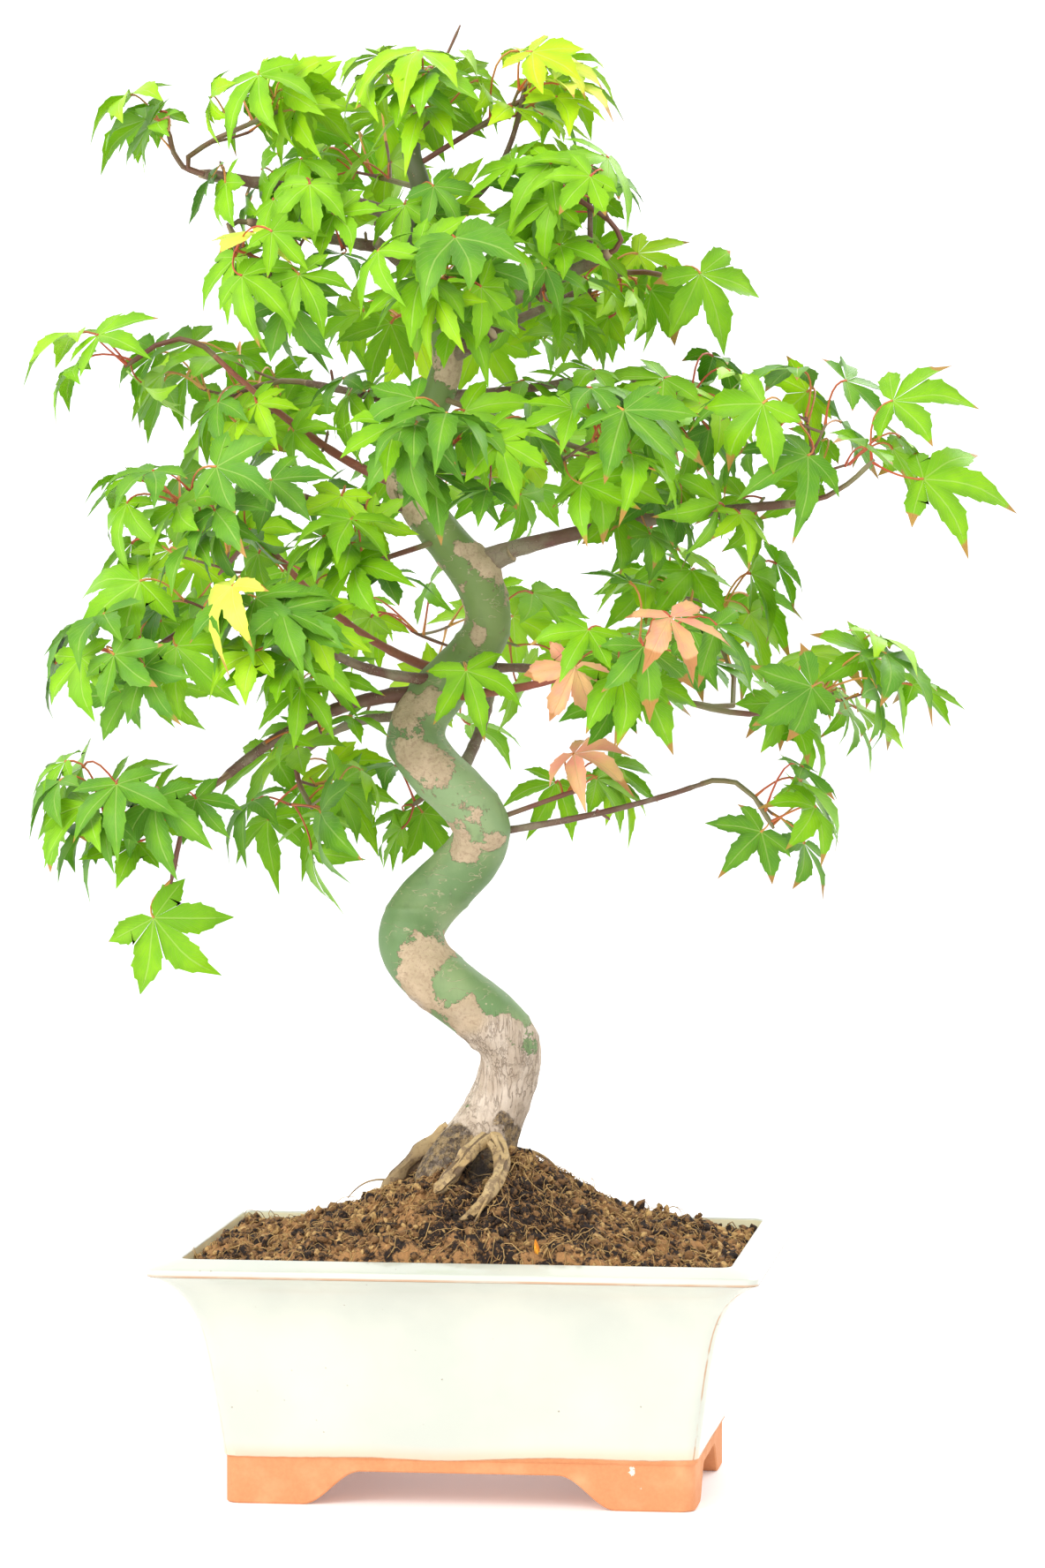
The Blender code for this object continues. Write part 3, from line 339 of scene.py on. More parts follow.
# Cork on the trunk: height, heading, reach, and 1 where it grows or -1 where green bark stays
CORK_PATCHES = (
    (0.184, -38, 0.0052, -1),
    (0.1955, -172, 0.0055, -1),
    (0.2025, -40, 0.0066, -1),
    (0.2105, -62, 0.0085, -1),
    (0.2224, -52, 0.009, 1),
    (0.2135, -116, 0.0085, 1),
    (0.204, -131, 0.009, 1),
    (0.2, -95, 0.0085, 1),
    (0.194, -135, 0.009, 1),
    (0.223, 20, 0.008, 1),
    (0.207, 205, 0.0075, 1),
    (0.272, -124, 0.0105, 1),
    (0.264, -108, 0.0075, 1),
    (0.269, -48, 0.0045, 1),
    (0.3, -82, 0.0095, 1),
    (0.306, -105, 0.0075, 1),
    (0.323, -120, 0.0085, 1),
    (0.327, -70, 0.007, 1),
    (0.355, -95, 0.003, 1),
    (0.384, -10, 0.0095, 1),
    (0.39, -55, 0.005, 1),
    (0.407, -110, 0.0105, 1),
    (0.416, 170, 0.01, 1),
    (0.25, 120, 0.01, 1),
    (0.31, 90, 0.009, 1),
    (0.37, 110, 0.011, 1),
    (0.465, -40, 0.01, 1),
    (0.512, 180, 0.009, 1),
)
# Ring-shaped scars: height, half width and rise
RING_SCARS = (
    (0.241, 0.0009, 0.00035),
    (0.289, 0.001, 0.0004),
    (0.355, 0.001, 0.00045),
    (0.392, 0.0009, 0.0004),
    (0.442, 0.0009, 0.0005),
    (0.495, 0.0008, 0.00045),
    (0.53, 0.0008, 0.00045),
)
# Swellings over pruned shoots: height, heading, reach and rise
SWELLINGS = (
    (0.3255, -25, 0.0065, 0.0022),
    (0.186, 200, 0.0026, 0.0026),
    (0.274, -30, 0.006, 0.0014),
    (0.224, -110, 0.004, 0.001),
    (0.202, -30, 0.0065, 0.0016),
    (0.384, 0, 0.007, 0.003),
    (0.415, 190, 0.006, 0.0024),
    (0.448, 150, 0.005, 0.002),
    (0.308, 170, 0.006, 0.0016),
)
# Thin roots: start, knee, end and radius
SIDE_ROOTS = (
    ((0.013, -0.03, 0.133), (0.012, -0.042, 0.13), (0.004, -0.053, 0.114), 0.0009),
    ((-0.038, -0.004, 0.127), (-0.048, -0.004, 0.1285), (-0.055, -0.003, 0.119), 0.0005),
    ((-0.026, -0.03, 0.124), (-0.033, -0.038, 0.12), (-0.032, -0.048, 0.108), 0.0006),
    ((0.01, 0.012, 0.138), (0.026, 0.026, 0.14), (0.034, 0.034, 0.12), 0.0011),
)
# Stubs that pruning left: height on the trunk or foot, knee, end, and radii
STUBS = (
    (0.381, (0.006, -0.004, 0.386), (0.015, -0.007, 0.3895), 0.005, 0.0042),
    (0.528, (0.012, -0.004, 0.528), (0.0205, -0.006, 0.584), 0.0014, 0.001),
    ((0.032, -0.0056, 0.502), (0.036, -0.01, 0.52), (0.0361, -0.012, 0.546), 0.0012, 0.0009),
    ((0.047, -0.0085, 0.509), (0.049, -0.013, 0.53), (0.0464, -0.014, 0.5515), 0.0012, 0.0009),
    (0.505, (-0.036, -0.012, 0.512), (-0.04, -0.019, 0.518), 0.003, 0.0024),
    (0.47, (0.002, -0.01, 0.476), (0.008, -0.014, 0.48), 0.0032, 0.0026),
)

# Blade of a leaf: shares of a lobe's length at which its rib bends and its teeth stand, the half
# width at each, and the joint at the stalk. Point 0 is the base, 1 to 4 the rib, 5 the tip, and 6 to
# 12 and 13 to 19 are the edges
RIB = (0.34, 0.50, 0.65, 0.80)
TOOTH_AT = (0.485, 0.505, 0.640, 0.660, 0.790, 0.810)
TOOTH_WIDE = (0.196, 0.176, 0.204, 0.172, 0.128, 0.088)
HEEL_ANGLE = 46.0
HEEL_REACH = 0.15
THREES = ((0, 6, 1), (4, 12, 5), (0, 1, 13), (4, 5, 19))
FIVES = (
    (1, 6, 7, 8, 2), (2, 8, 9, 10, 3), (3, 10, 11, 12, 4),
    (1, 2, 15, 14, 13), (2, 3, 17, 16, 15), (3, 4, 19, 18, 17),
)
# Odd leaves: a tint's number, and the spot in the front view that its leaf is nearest to
ODD_LEAVES = (
    (5, 0.0360, 0.3200),
    (5, 0.0453, 0.3440),
    (5, 0.0839, 0.3750),
    (4, -0.0908, 0.5148),
    (4, -0.1040, 0.3750),
    (1, -0.1294, 0.2316),
)
# The other colour that each tint of leaf wanders to, from the oldest to the youngest, then the odd ones
WANDERS = {
    "deep": (0.100, 0.290, 0.020),
    "full": (0.180, 0.445, 0.008),
    "fresh": (0.290, 0.600, 0.008),
    "lime": (0.450, 0.760, 0.014),
    "yellow": (0.700, 0.860, 0.110),
    "withered": (0.780, 0.480, 0.200),
}
YELLOW = 4
WITHERED = 5
WITHERED_FOLD = 3.0
# Share of a lobe's length at which its tip is dry, on green leaves and on turning ones
DRY_FROM = (1.04, 0.92)
# How far a point shifts to the right in the front view for each metre to the rear
VIEW_SLANT = 0.123
# Share of yellow leaves in the mass that turns
TURNING_SHARE = 0.10
# A leaf's tint, as a step on the row of tints: the middle one, how much paler it is for each metre to
# the rear, as a painted glow of light through the rear leaves, how much younger it is for each metre up near
# the top, in young masses, and how far it strays
MIDDLE_TINT = 1.35
REAR_GLOW = 7.0
YOUNG_HIGH = 5.0
HIGH_FROM = 0.48
YOUNG_MASS = 1.3
TINT_STRAY = 0.62


# Values that a user would change


def a_length(name, description, default):
    return FloatProperty(name=name, description=description, default=default, min=0.0, unit="LENGTH")


def a_share(name, description, default, most=1.0):
    return FloatProperty(name=name, description=description, default=default, min=0.0, max=most)


def a_colour(name, what, default):
    told = f"Colour of {what}"
    return FloatVectorProperty(name=name, description=told, default=default, min=0, max=1, subtype="COLOR")


def an_angle(name, description, degrees):
    turn = math.radians(degrees)
    return FloatProperty(name=name, description=description, default=turn, subtype="ANGLE")


def a_power(name, description, watts):
    return FloatProperty(name=name, description=description, default=watts, min=0.0, unit="POWER")


def a_count(name, description, default):
    return IntProperty(name=name, description=description, default=default, min=0)


class StageSettings(bpy.types.PropertyGroup):
    """Floor, light and camera."""

    distance: a_length("Distance", "From the camera to the middle of the bonsai", 2.62)
    around: an_angle("Around", "Turn of the camera round the bonsai", 7.09)
    above: an_angle("Above", "Height of the camera above the level", 3.3)
    lens: FloatProperty(name="Lens", description="Focal length in millimetres", default=144.6, min=20.0)
    aim: FloatVectorProperty(
        name="Aim",
        description="Point that the camera looks at",
        default=(0.0184, 0.0, 0.293),
        subtype="TRANSLATION",
    )
    floor: a_colour("Floor", "the studio floor", (0.95, 0.95, 0.94))
    sky: a_share("Surrounding light", "Strength of the even white light", 1.3, 5.0)
    key: a_power("Key light", "Power of the large front lamp", 31.0)
    rim: a_power("Rear light", "Power of the large rear lamp", 19.0)


class PotSettings(bpy.types.PropertyGroup):
    """Glazed pot."""

    glaze: a_colour("Glaze", "the cream glaze", (0.565, 0.58, 0.512))
    clay: a_colour("Clay", "the bare terracotta", (0.66, 0.275, 0.115))
    glaze_line: a_length("Glaze line", "Height at which the glaze ends", 0.0205)
    lip_round: a_length("Lip rounding", "How far the lip's edges are rounded", 0.0012)


class SoilSettings(bpy.types.PropertyGroup):
    """Potting soil."""

    dark: a_colour("Dark soil", "the damp peat", (0.019, 0.01, 0.007))
    light: a_colour("Light soil", "the dry peat", (0.262, 0.134, 0.05))
    straw: a_colour("Straw", "rootlets and straw", (0.62, 0.39, 0.15))
    clods: a_length("Clods", "Height of the soil's unevenness", 0.0026)
    crumbs: a_count("Crumbs", "Number of loose crumbs", 7000)
    fibres: a_count("Fibres", "Number of peat fibres", 2300)


class BarkSettings(bpy.types.PropertyGroup):
    """Bark of trunk, boughs, twigs and roots."""

    green: a_colour("Green bark", "the smooth young bark", (0.13, 0.225, 0.08))
    cork: a_colour("Cork", "the corky patches", (0.41, 0.312, 0.195))
    root: a_colour("Root", "the surface roots", (0.45, 0.3, 0.13))
    bough: a_colour("Bough", "the red-brown boughs", (0.135, 0.062, 0.04))
    twig: a_colour("Twig", "the young twigs", (0.175, 0.062, 0.04))
    relief: a_length("Relief", "Height of the corky patches", 0.00045)


class FoliageSettings(bpy.types.PropertyGroup):
    """Leaves and their stalks."""

    finer: a_share("Smaller leaves", "Smaller leaves for each large one", 0.26, 4.0)
    least: a_length("Least leaf", "Middle lobe of the smallest leaf", 0.02)
    most: a_length("Largest small leaf", "Middle lobe of the largest small leaf", 0.031)
    fold: a_share("Fold", "How far each lobe folds up along its rib", 0.28)
    stalk: a_colour("Stalk", "the red leaf stalks", (0.52, 0.085, 0.035))
    deep: a_colour("Deep green", "shaded, bluish leaves", (0.15, 0.37, 0.014))
    full: a_colour("Full green", "grown leaves", (0.245, 0.53, 0.006))
    fresh: a_colour("Fresh green", "younger leaves", (0.38, 0.67, 0.008))
    lime: a_colour("Lime", "the youngest leaves", (0.56, 0.83, 0.018))
    yellow: a_colour("Yellow", "turning leaves", (0.8, 0.82, 0.07))
    withered: a_colour("Withered", "withered leaves", (0.82, 0.33, 0.23))


SETTINGS = {
    "bonsai_stage": StageSettings,
    "bonsai_pot": PotSettings,
    "bonsai_soil": SoilSettings,
    "bonsai_bark": BarkSettings,
    "bonsai_foliage": FoliageSettings,
}


# Shader maths


class Value:
    """A number on a node's socket. Python's operators on it add Math nodes."""

    def __init__(self, recipe, socket):
        self.recipe = recipe
        self.socket = socket

    def maths(self, operation, first, second=0.0):
        inputs = {0: first, 1: second}
        return Value(self.recipe, self.recipe.node("ShaderNodeMath", {"operation": operation}, inputs))

    def __add__(self, other):
        return self.maths("ADD", self, other)

    def __sub__(self, other):
        return self.maths("SUBTRACT", self, other)

    def __rsub__(self, other):
        return self.maths("SUBTRACT", other, self)

    def __mul__(self, other):
        return self.maths("MULTIPLY", self, other)

    def __abs__(self):
        return self.maths("ABSOLUTE", self)

    __radd__ = __add__
    __rmul__ = __mul__

    def sine(self):
        return self.maths("SINE", self)

    def most(self, other):
        return self.maths("MAXIMUM", self, other)

    def rise(self, low, high):
        """0 below low, 1 above high, eased between. With low above high it falls."""
        settings = {"interpolation_type": "SMOOTHSTEP"}
        inputs = {"Value": self, "From Min": low, "From Max": high}
        return Value(self.recipe, self.recipe.node("ShaderNodeMapRange", settings, inputs))


class Recipe:
    """A material that is being mixed: one method adds any node, and short ones name common uses."""

    def __init__(self, name, shown):
        self.material = bpy.data.materials.new(name)
        self.material.use_nodes = True
        self.material.diffuse_color = (*shown, 1.0)
        self.tree = self.material.node_tree
        self.shader = self.tree.nodes["Principled BSDF"]
        self.place = self.node("ShaderNodeTexCoord", output="Object")

    def node(self, kind, settings=None, inputs=None, output=0):
        """Adds a node, makes its settings, fills its sockets with numbers or links, and gives an output."""
        made = self.tree.nodes.new(kind)
        for setting, value in (settings or {}).items():
            setattr(made, setting, value)
        for key, value in (inputs or {}).items():
            self.fill(made.inputs[key], value)
        return made.outputs[output]

    def fill(self, socket, value):
        value = value.socket if isinstance(value, Value) else value
        if isinstance(value, bpy.types.NodeSocket):
            self.tree.links.new(value, socket)
        elif socket.type == "RGBA":
            socket.default_value = (*value, 1.0)
        else:
            socket.default_value = value

    def noise(self, size, detail=3.0, rough=0.5, stretch=None):
        """Noise from 0 to 1 with lumps about size metres across, longer where the stretch is under 1."""
        place = self.place
        if stretch:
            place = self.node("ShaderNodeMapping", None, {"Vector": place, "Scale": stretch})
        inputs = {"Vector": place, "Scale": 1.0 / size, "Detail": detail, "Roughness": rough}
        return Value(self, self.node("ShaderNodeTexNoise", None, inputs))

    def cells(self, size):
        """Distance to the nearest of scattered points that are about size metres apart."""
        inputs = {"Vector": self.place, "Scale": 1.0 / size}
        return Value(self, self.node("ShaderNodeTexVoronoi", None, inputs, "Distance"))

    def stored(self, name):
        """A number that the mesh stores at each point."""
        return Value(self, self.node("ShaderNodeAttribute", {"attribute_name": name}, None, "Fac"))

    def near(self, point, reach):
        """1 at a point of the bonsai, eased to 0 as far off as the reach."""
        point = tuple(float(part) for part in CENTRE + np.array(point))
        inputs = {0: self.place, 1: point}
        away = self.node("ShaderNodeVectorMath", {"operation": "DISTANCE"}, inputs, "Value")
        return Value(self, away).rise(reach, 0.0)

    def axis(self, name, vector=None):
        """One part of the place, or of another vector."""
        inputs = {"Vector": vector or self.place}
        return Value(self, self.node("ShaderNodeSeparateXYZ", None, inputs, name))

    def blend(self, factor, low, high):
        """One colour where the factor is 0 and the other where it is 1."""
        inputs = {0: factor, 6: low, 7: high}
        return self.node("ShaderNodeMix", {"data_type": "RGBA"}, inputs, 2)

    def layers(self, colour, *pairs):
        """Lays colours over one another, each by its own factor."""
        for factor, over in pairs:
            colour = self.blend(factor, colour, over)
        return colour

    def bump(self, height, distance):
        """A normal tilted by a height from 0 to 1 that stands for a distance in metres."""
        return self.node("ShaderNodeBump", None, {"Height": height, "Distance": distance, "Strength": 1.0})

    def finish(self, **sockets):
        """Fills the shader's own sockets. base_color stands for Base Color, and so on."""
        for key, value in sockets.items():
            self.fill(self.shader.inputs[key.replace("_", " ").title().replace("Ior", "IOR")], value)
        return self.material


def shaded(colour, amount):
    """A colour made darker or lighter by a number, or by one for each part."""
    return tuple(np.minimum(np.multiply(colour, amount), 1.0))


# Meshes from arrays


def add_piece(name, vertices, faces, finish, nodes, slot, facts=None, uv=None, crease=None):
    """A mesh object made from arrays and moved to the pot's place.

    faces is one array for each number of corners. facts are numbers stored at each point, uv one
    pair for each point, and edges sharper than crease, in degrees, stay sharp.
    """
    mesh = bpy.data.meshes.new(name)
    corners = np.concatenate([np.asarray(block).ravel() for block in faces])
    sizes = np.concatenate([np.full(len(block), np.shape(block)[1]) for block in faces])
    mesh.vertices.add(len(vertices))
    mesh.vertices.foreach_set("co", (vertices + CENTRE).astype(np.float32).ravel())
    mesh.loops.add(len(corners))
    mesh.loops.foreach_set("vertex_index", corners.astype(np.int32))
    mesh.polygons.add(len(sizes))
    mesh.polygons.foreach_set("loop_start", (np.cumsum(sizes) - sizes).astype(np.int32))
    mesh.update(calc_edges=True)
    for fact, values in (facts or {}).items():
        stored = mesh.attributes.new(fact, "FLOAT", "POINT")
        stored.data.foreach_set("value", np.asarray(values, np.float32).ravel())
    if uv is not None:
        mesh.uv_layers.new(name="pattern").data.foreach_set("uv", uv[corners].astype(np.float32).ravel())
    mesh.shade_smooth()
    if crease:
        mesh.set_sharp_from_angle(angle=math.radians(crease))
    if mesh.validate():
        raise RuntimeError(f"the mesh of {name} had bad faces")
    mesh.materials.append(finish)
    made = bpy.data.objects.new(name, mesh)
    bpy.context.scene.collection.objects.link(made)
    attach(made, "root")
    if nodes:
        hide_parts(*nodes)
    return made


def lattice_noise(points, size, seed):
    """Smooth noise from -1 to 1: a scrambled number at each corner of a cubic lattice, blended
    across each cell by 3t^2 - 2t^3 along every axis."""
    low = np.floor(points / size).astype(np.int64)
    part = points / size - low
    part = part * part * (3 - 2 * part)
    total = np.zeros(points.shape[:-1])
    for corner in np.ndindex(2, 2, 2):
        key = (low + corner) @ np.array([73856093, 19349663, 83492791]) + seed * 9176
        key = ((key & 0xFFFFFFFF) ^ ((key & 0xFFFFFFFF) >> 13)) * 1274126177 & 0xFFFFFFFF
        number = ((key ^ (key >> 15)) & 0xFFFF) / 32767.5 - 1
        total += number * np.prod(np.where(corner, part, 1 - part), axis=-1)
    return total


def rough_noise(points, size, octaves, seed):
    """Lattice noise, with each finer layer half as large and half as strong."""
    layers = [lattice_noise(points, size / 2**k, seed + k) / 2**k for k in range(octaves)]
    return np.sum(layers, axis=0)


def ease(values, low, high):
    """3t^2 - 2t^3, where t runs from 0 at low to 1 at high."""
    t = np.clip((np.asarray(values) - low) / (high - low), 0.0, 1.0)
    return t * t * (3 - 2 * t)


def quads_between(rings):
    """Four-cornered faces between closed rings of point numbers that follow one another."""
    rings = np.asarray(rings)
    low, high = rings[:-1], rings[1:]
    after_low, after_high = np.roll(low, -1, axis=1), np.roll(high, -1, axis=1)
    return np.stack([low, after_low, after_high, high], axis=-1).reshape(-1, 4)


def tubes(paths, radii, sides):
    """Closed tubes round many paths at once: at each point of each path a circle of its radius stands
    square to the path. paths is (tube, step, 3) and radii (tube, step)."""
    count, steps = paths.shape[:2]
    along = np.gradient(paths, axis=1)
    along /= np.linalg.norm(along, axis=2, keepdims=True) + 1e-12
    least = np.abs(along).max(axis=1).argmin(axis=1)
    aside = np.eye(3)[least][:, None, :]
    aside = aside - along * (along * aside).sum(axis=2, keepdims=True)
    aside /= np.linalg.norm(aside, axis=2, keepdims=True)
    across = np.cross(along, aside)
    turn = corner_turns(sides)[:, None]
    ring = np.cos(turn) * aside[:, :, None] + np.sin(turn) * across[:, :, None]
    vertices = paths[:, :, None] + ring * radii[:, :, None, None]
    numbers = np.arange(count * steps * sides).reshape(count, steps, sides)
    low, high = numbers[:, :-1], numbers[:, 1:]
    walls = np.stack([low, np.roll(low, -1, 2), np.roll(high, -1, 2), high], axis=-1).reshape(-1, 4)
    caps = np.concatenate([numbers[:, 0, ::-1], numbers[:, -1]])
    return vertices.reshape(-1, 3), [walls, caps]


def numbered(grid, start=0):
    """The numbers of a grid's points, in its own rows and columns."""
    return np.arange(grid.shape[0] * grid.shape[1]).reshape(grid.shape[:2]) + start


def shut(grid):
    """Points and faces of a tube that is given as rings of points, with a cap on each end."""
    numbers = numbered(grid)
    return grid.reshape(-1, 3), [quads_between(numbers), np.stack([numbers[0, ::-1], numbers[-1]])]


def ringed(path, radii, sides):
    """A tube's rings of points, and the way out of the path at each point."""
    grid = tube(path, radii, sides)[0].reshape(len(path), sides, 3)
    return grid, unit_rows(grid - path[:, None])


def joined(shapes):
    """Several (vertices, faces) as one, with faces of a like number of corners put together."""
    start = 0
    points = []
    blocks = {}
    for vertices, faces in shapes:
        points.append(vertices)
        for block in faces:
            blocks.setdefault(np.shape(block)[1], []).append(np.asarray(block) + start)
        start += len(vertices)
    return np.concatenate(points), [np.concatenate(blocks[size]) for size in sorted(blocks)]


def along_path(path, steps):
    """Points at even distances along a path."""
    gaps = np.linalg.norm(np.diff(path, axis=0), axis=1)
    far = np.concatenate([[0.0], np.cumsum(gaps)])
    wanted = np.linspace(0.0, far[-1], steps)
    return np.stack([np.interp(wanted, far, path[:, k]) for k in range(3)], axis=1)


# Curves, heights and growth


def unit(vector):
    vector = np.asarray(vector, float)
    return vector / np.linalg.norm(vector)


def unit_rows(vectors):
    return vectors / np.linalg.norm(vectors, axis=-1, keepdims=True)


def corner_turns(sides):
    """The turn of each corner of a ring, in radians."""
    return np.arange(sides) * 2 * math.pi / sides


def evenly(count):
    """Even shares from 0 to 1."""
    return np.linspace(0.0, 1.0, count)


def bow(start, knee, tip, steps):
    """Points of a quadratic Bezier curve from start to tip, drawn towards knee."""
    t = evenly(steps + 1)[:, None]
    start, knee, tip = (np.asarray(p, float) for p in (start, knee, tip))
    return (1 - t) ** 2 * start + 2 * t * (1 - t) * knee + t**2 * tip


def tube(path, radii, sides):
    """A closed tube round a path. radii holds one radius a ring, or one a corner of each ring."""
    path = np.asarray(path, float)
    radii = np.broadcast_to(np.reshape(radii, (len(path), -1)), (len(path), sides))
    along = np.gradient(path, axis=0)
    along /= np.linalg.norm(along, axis=1)[:, None]
    side = unit(np.cross(along[0], (0.31, 0.87, 0.38)))
    turn = corner_turns(sides)
    rings = []
    for centre, ahead, radius in zip(path, along, radii):
        side = unit(side - ahead * (side @ ahead))
        across = np.cross(ahead, side)
        ring = np.outer(np.cos(turn), side) + np.outer(np.sin(turn), across)
        rings.append(centre + ring * radius[:, None])
    return np.concatenate(rings), ring_faces(len(rings), sides)


def ring_faces(rings, sides):
    """Triangles between rings that follow one another, and a cap on each end."""
    faces = [tuple(range(sides))[::-1]]
    for start in range(0, (rings - 1) * sides, sides):
        for k in range(sides):
            a, b = start + k, start + (k + 1) % sides
            faces += [(a, b, b + sides), (a, b + sides, a + sides)]
    return faces + [tuple(range((rings - 1) * sides, rings * sides))]


def soil_height(x, y):
    """The mound falls off all round, and it has lumps about 35 mm apart."""
    away = np.hypot((x - MOUND_CENTRE[0]) / MOUND_HALF[0], (y - MOUND_CENTRE[1]) / MOUND_HALF[1])
    sway, bend = LUMP_SWAY
    lumps = np.sin(LUMP_TURNS[0] * x + sway * np.sin(bend * y)) * np.sin(LUMP_TURNS[1] * y + 1.0)
    return SOIL_LEVEL + MOUND_HEIGHT / (1 + away**MOUND_STEEPNESS) + SOIL_LUMP * lumps


def swing(z):
    """Which stretch of the trunk each height lies in, and the share of that stretch."""
    heights = TURNS[:, 1]
    stretch = np.clip(np.searchsorted(heights, z, "right") - 1, 0, len(heights) - 2)
    share = (z - heights[stretch]) / (heights[stretch + 1] - heights[stretch])
    return stretch, np.clip(share, 0.0, 1.0)


def trunk_point(z):
    """The trunk's axis at each height: it swings in X by half a cosine from turn to turn, and winds
    round in Y by a sine that is half a turn behind."""
    stretch, share = swing(z)
    x0, x1 = TURNS[stretch, 0], TURNS[stretch + 1, 0]
    x = x0 + (x1 - x0) * (0.5 - 0.5 * np.cos(math.pi * share))
    taper = np.minimum(stretch + share, 1.0) * TURNS[stretch, 2] / TURNS[0, 2]
    y = TRUNK_WINDING * taper * np.sin(math.pi * (stretch + share))
    return np.stack([x, y, z + 0.0 * x], axis=-1)


def trunk_radius(z):
    """The radius at each height, in a straight line from turn to turn."""
    stretch, share = swing(z)
    r0, r1 = TURNS[stretch, 2], TURNS[stretch + 1, 2]
    return r0 + (r1 - r0) * share


def root_flare(z, turn):
    """How far the foot of the trunk spreads: it fades by e to the minus height to the power 1.5, and
    has ridges by a cosine of the turn."""
    spread = FLARE_WIDTH * np.exp(-(((z - TRUNK_TURNS[0][1]) / FLARE_REACH) ** 1.5))
    return np.multiply.outer(spread, 1 + RIDGE_RISE * np.cos(FLARE_RIDGES * turn + RIDGE_TURN))


def trunk_spot(height, heading):
    """A point on the trunk's side, at a height and a heading in degrees."""
    side = np.array([math.cos(math.radians(heading)), math.sin(math.radians(heading)), 0.0])
    return trunk_point(height) + side * trunk_radius(height)


def swell(points, middle, reach):
    """1 at the middle, and e to the minus square of distance over reach elsewhere."""
    return np.exp(-((np.linalg.norm(points - middle, axis=-1) / reach) ** 2))


def trunk_tube(extra):
    """The trunk's surface, grown by extra all over."""
    heights = []
    for (_, low, _), (_, high, _) in zip(TRUNK_TURNS, TRUNK_TURNS[1:]):
        steps = max(2, round(TRUNK_STEPS * (high - low) / TRUNK_SPAN))
        heights += [low + (high - low) * k / steps for k in range(steps)]
    heights.append(TRUNK_TURNS[-1][1])
    path = np.array([trunk_point(z) for z in heights])
    turn = corner_turns(TRUNK_SIDES)
    radii = [trunk_radius(z) + root_flare(z, turn) + extra for z in heights]
    radii[0] += 2 * extra
    path[0, 2] -= extra
    path[-1, 2] += extra
    vertices, faces = tube(path, np.array(radii), TRUNK_SIDES)
    vertices[:TRUNK_SIDES, 2] = path[0, 2]
    return vertices, faces


def bough_path(bough):
    height, knee, tip, _, _ = bough
    return bow(trunk_point(height), knee, tip, BOUGH_STEPS)


def bough_tube(bough, extra):
    """A tapering limb, swollen into a collar where it leaves the trunk."""
    share = evenly(BOUGH_STEPS + 1)
    _, _, _, r0, r1 = bough
    radii = r0 + (r1 - r0) * share + COLLAR * r0 * np.exp(-COLLAR_FALL * share)
    return tube(bough_path(bough), radii + extra, BOUGH_SIDES)


# Leaves and twigs


def leaf_mesh(leaf, extra=0.0):
    """A thin star of five drooping lobes on its stalk, one closed mesh. extra fattens it."""
    base, ahead, face, length, node = leaf
    across = np.cross(face, ahead)
    half = LEAF_THICKNESS / 2 + extra
    stalk = STALK_RADIUS + extra
    rim = [base - ahead * stalk - across * stalk * HEEL]
    for k, (angle, share) in enumerate(zip(LOBE_ANGLES, LOBE_LENGTHS)):
        if k:
            notch = math.radians((angle + LOBE_ANGLES[k - 1]) / 2)
            reach = NOTCH * length + extra
            rim.append(base + reach * (ahead * math.cos(notch) + across * math.sin(notch)))
        turn, reach = math.radians(angle), share * length + extra
        tip = reach * (ahead * math.cos(turn) + across * math.sin(turn))
        rim.append(base + tip - face * LOBE_DROOP * share * length)
    rim.append(base - ahead * stalk + across * stalk * HEEL)
    count = len(rim)
    top, under = count, count + 1
    away = unit(node - base)
    side = unit(across - away * (across @ away))
    up = np.cross(away, side)
    up *= math.copysign(1.0, up @ face - 1e-9)
    narrow = STALK_FOOT + extra
    foot = [node - side * narrow, node + side * narrow, node + up * narrow]
    vertices = rim + [base + face * half, base - face * half] + foot
    right, left, ridge = count + 2, count + 3, count + 4
    faces = [(top, k, k + 1) for k in range(count - 1)]
    faces += [(under, k + 1, k) for k in range(count - 1)]
    last = count - 1
    faces += [(last, top, ridge, left), (top, 0, right, ridge)]
    faces += [(under, last, left), (under, left, right), (under, right, 0), (left, ridge, right)]
    return np.array(vertices), faces


def twig_mesh(twig, extra=0.0):
    path, radii = twig
    return tube(path, np.asarray(radii) + extra, 3)


def tree_of(shape):
    """A search tree of a mesh, for finding what it touches."""
    vertices, faces = shape
    return BVHTree.FromPolygons([Vector(v) for v in vertices], faces)


class Crown:
    """What stands in the crown already: limbs, and each mass's own twigs and leaves."""

    def __init__(self, limbs):
        self.things = [("limb", "limb", tree_of(shape), *bounds(shape)) for shape in limbs]

    def add(self, shape, mass, kind):
        self.things.append((mass, kind, tree_of(shape), *bounds(shape)))

    def forget(self, mass):
        self.things = [thing for thing in self.things if thing[0] != mass]

    def touches(self, shape, skip=None, own=None):
        """Whether a shape meets anything but one mass, or only the leaves of its own mass."""
        low, high = bounds(shape)
        found = None
        for mass, kind, tree, bottom, top in self.things:
            if mass == skip or (own and (mass != own or kind != "leaf")):
                continue
            if (top < low).any() or (bottom > high).any():
                continue
            found = found or tree_of(shape)
            if tree.overlap(found):
                return True
        return False


def bounds(shape):
    return shape[0].min(axis=0), shape[0].max(axis=0)


def spots(rng):
    """Endless points of the unit ball, each the farthest of several tries from all before it."""
    chosen = [np.zeros(3)]
    while True:
        tries = rng.normal(size=(40, 3))
        tries /= np.linalg.norm(tries, axis=1)[:, None]
        tries *= rng.random((40, 1)) ** (1 / 3)
        gaps = np.linalg.norm(tries[:, None] - np.array(chosen)[None], axis=2).min(axis=1)
        chosen.append(tries[gaps.argmax()])
        yield chosen[-1]


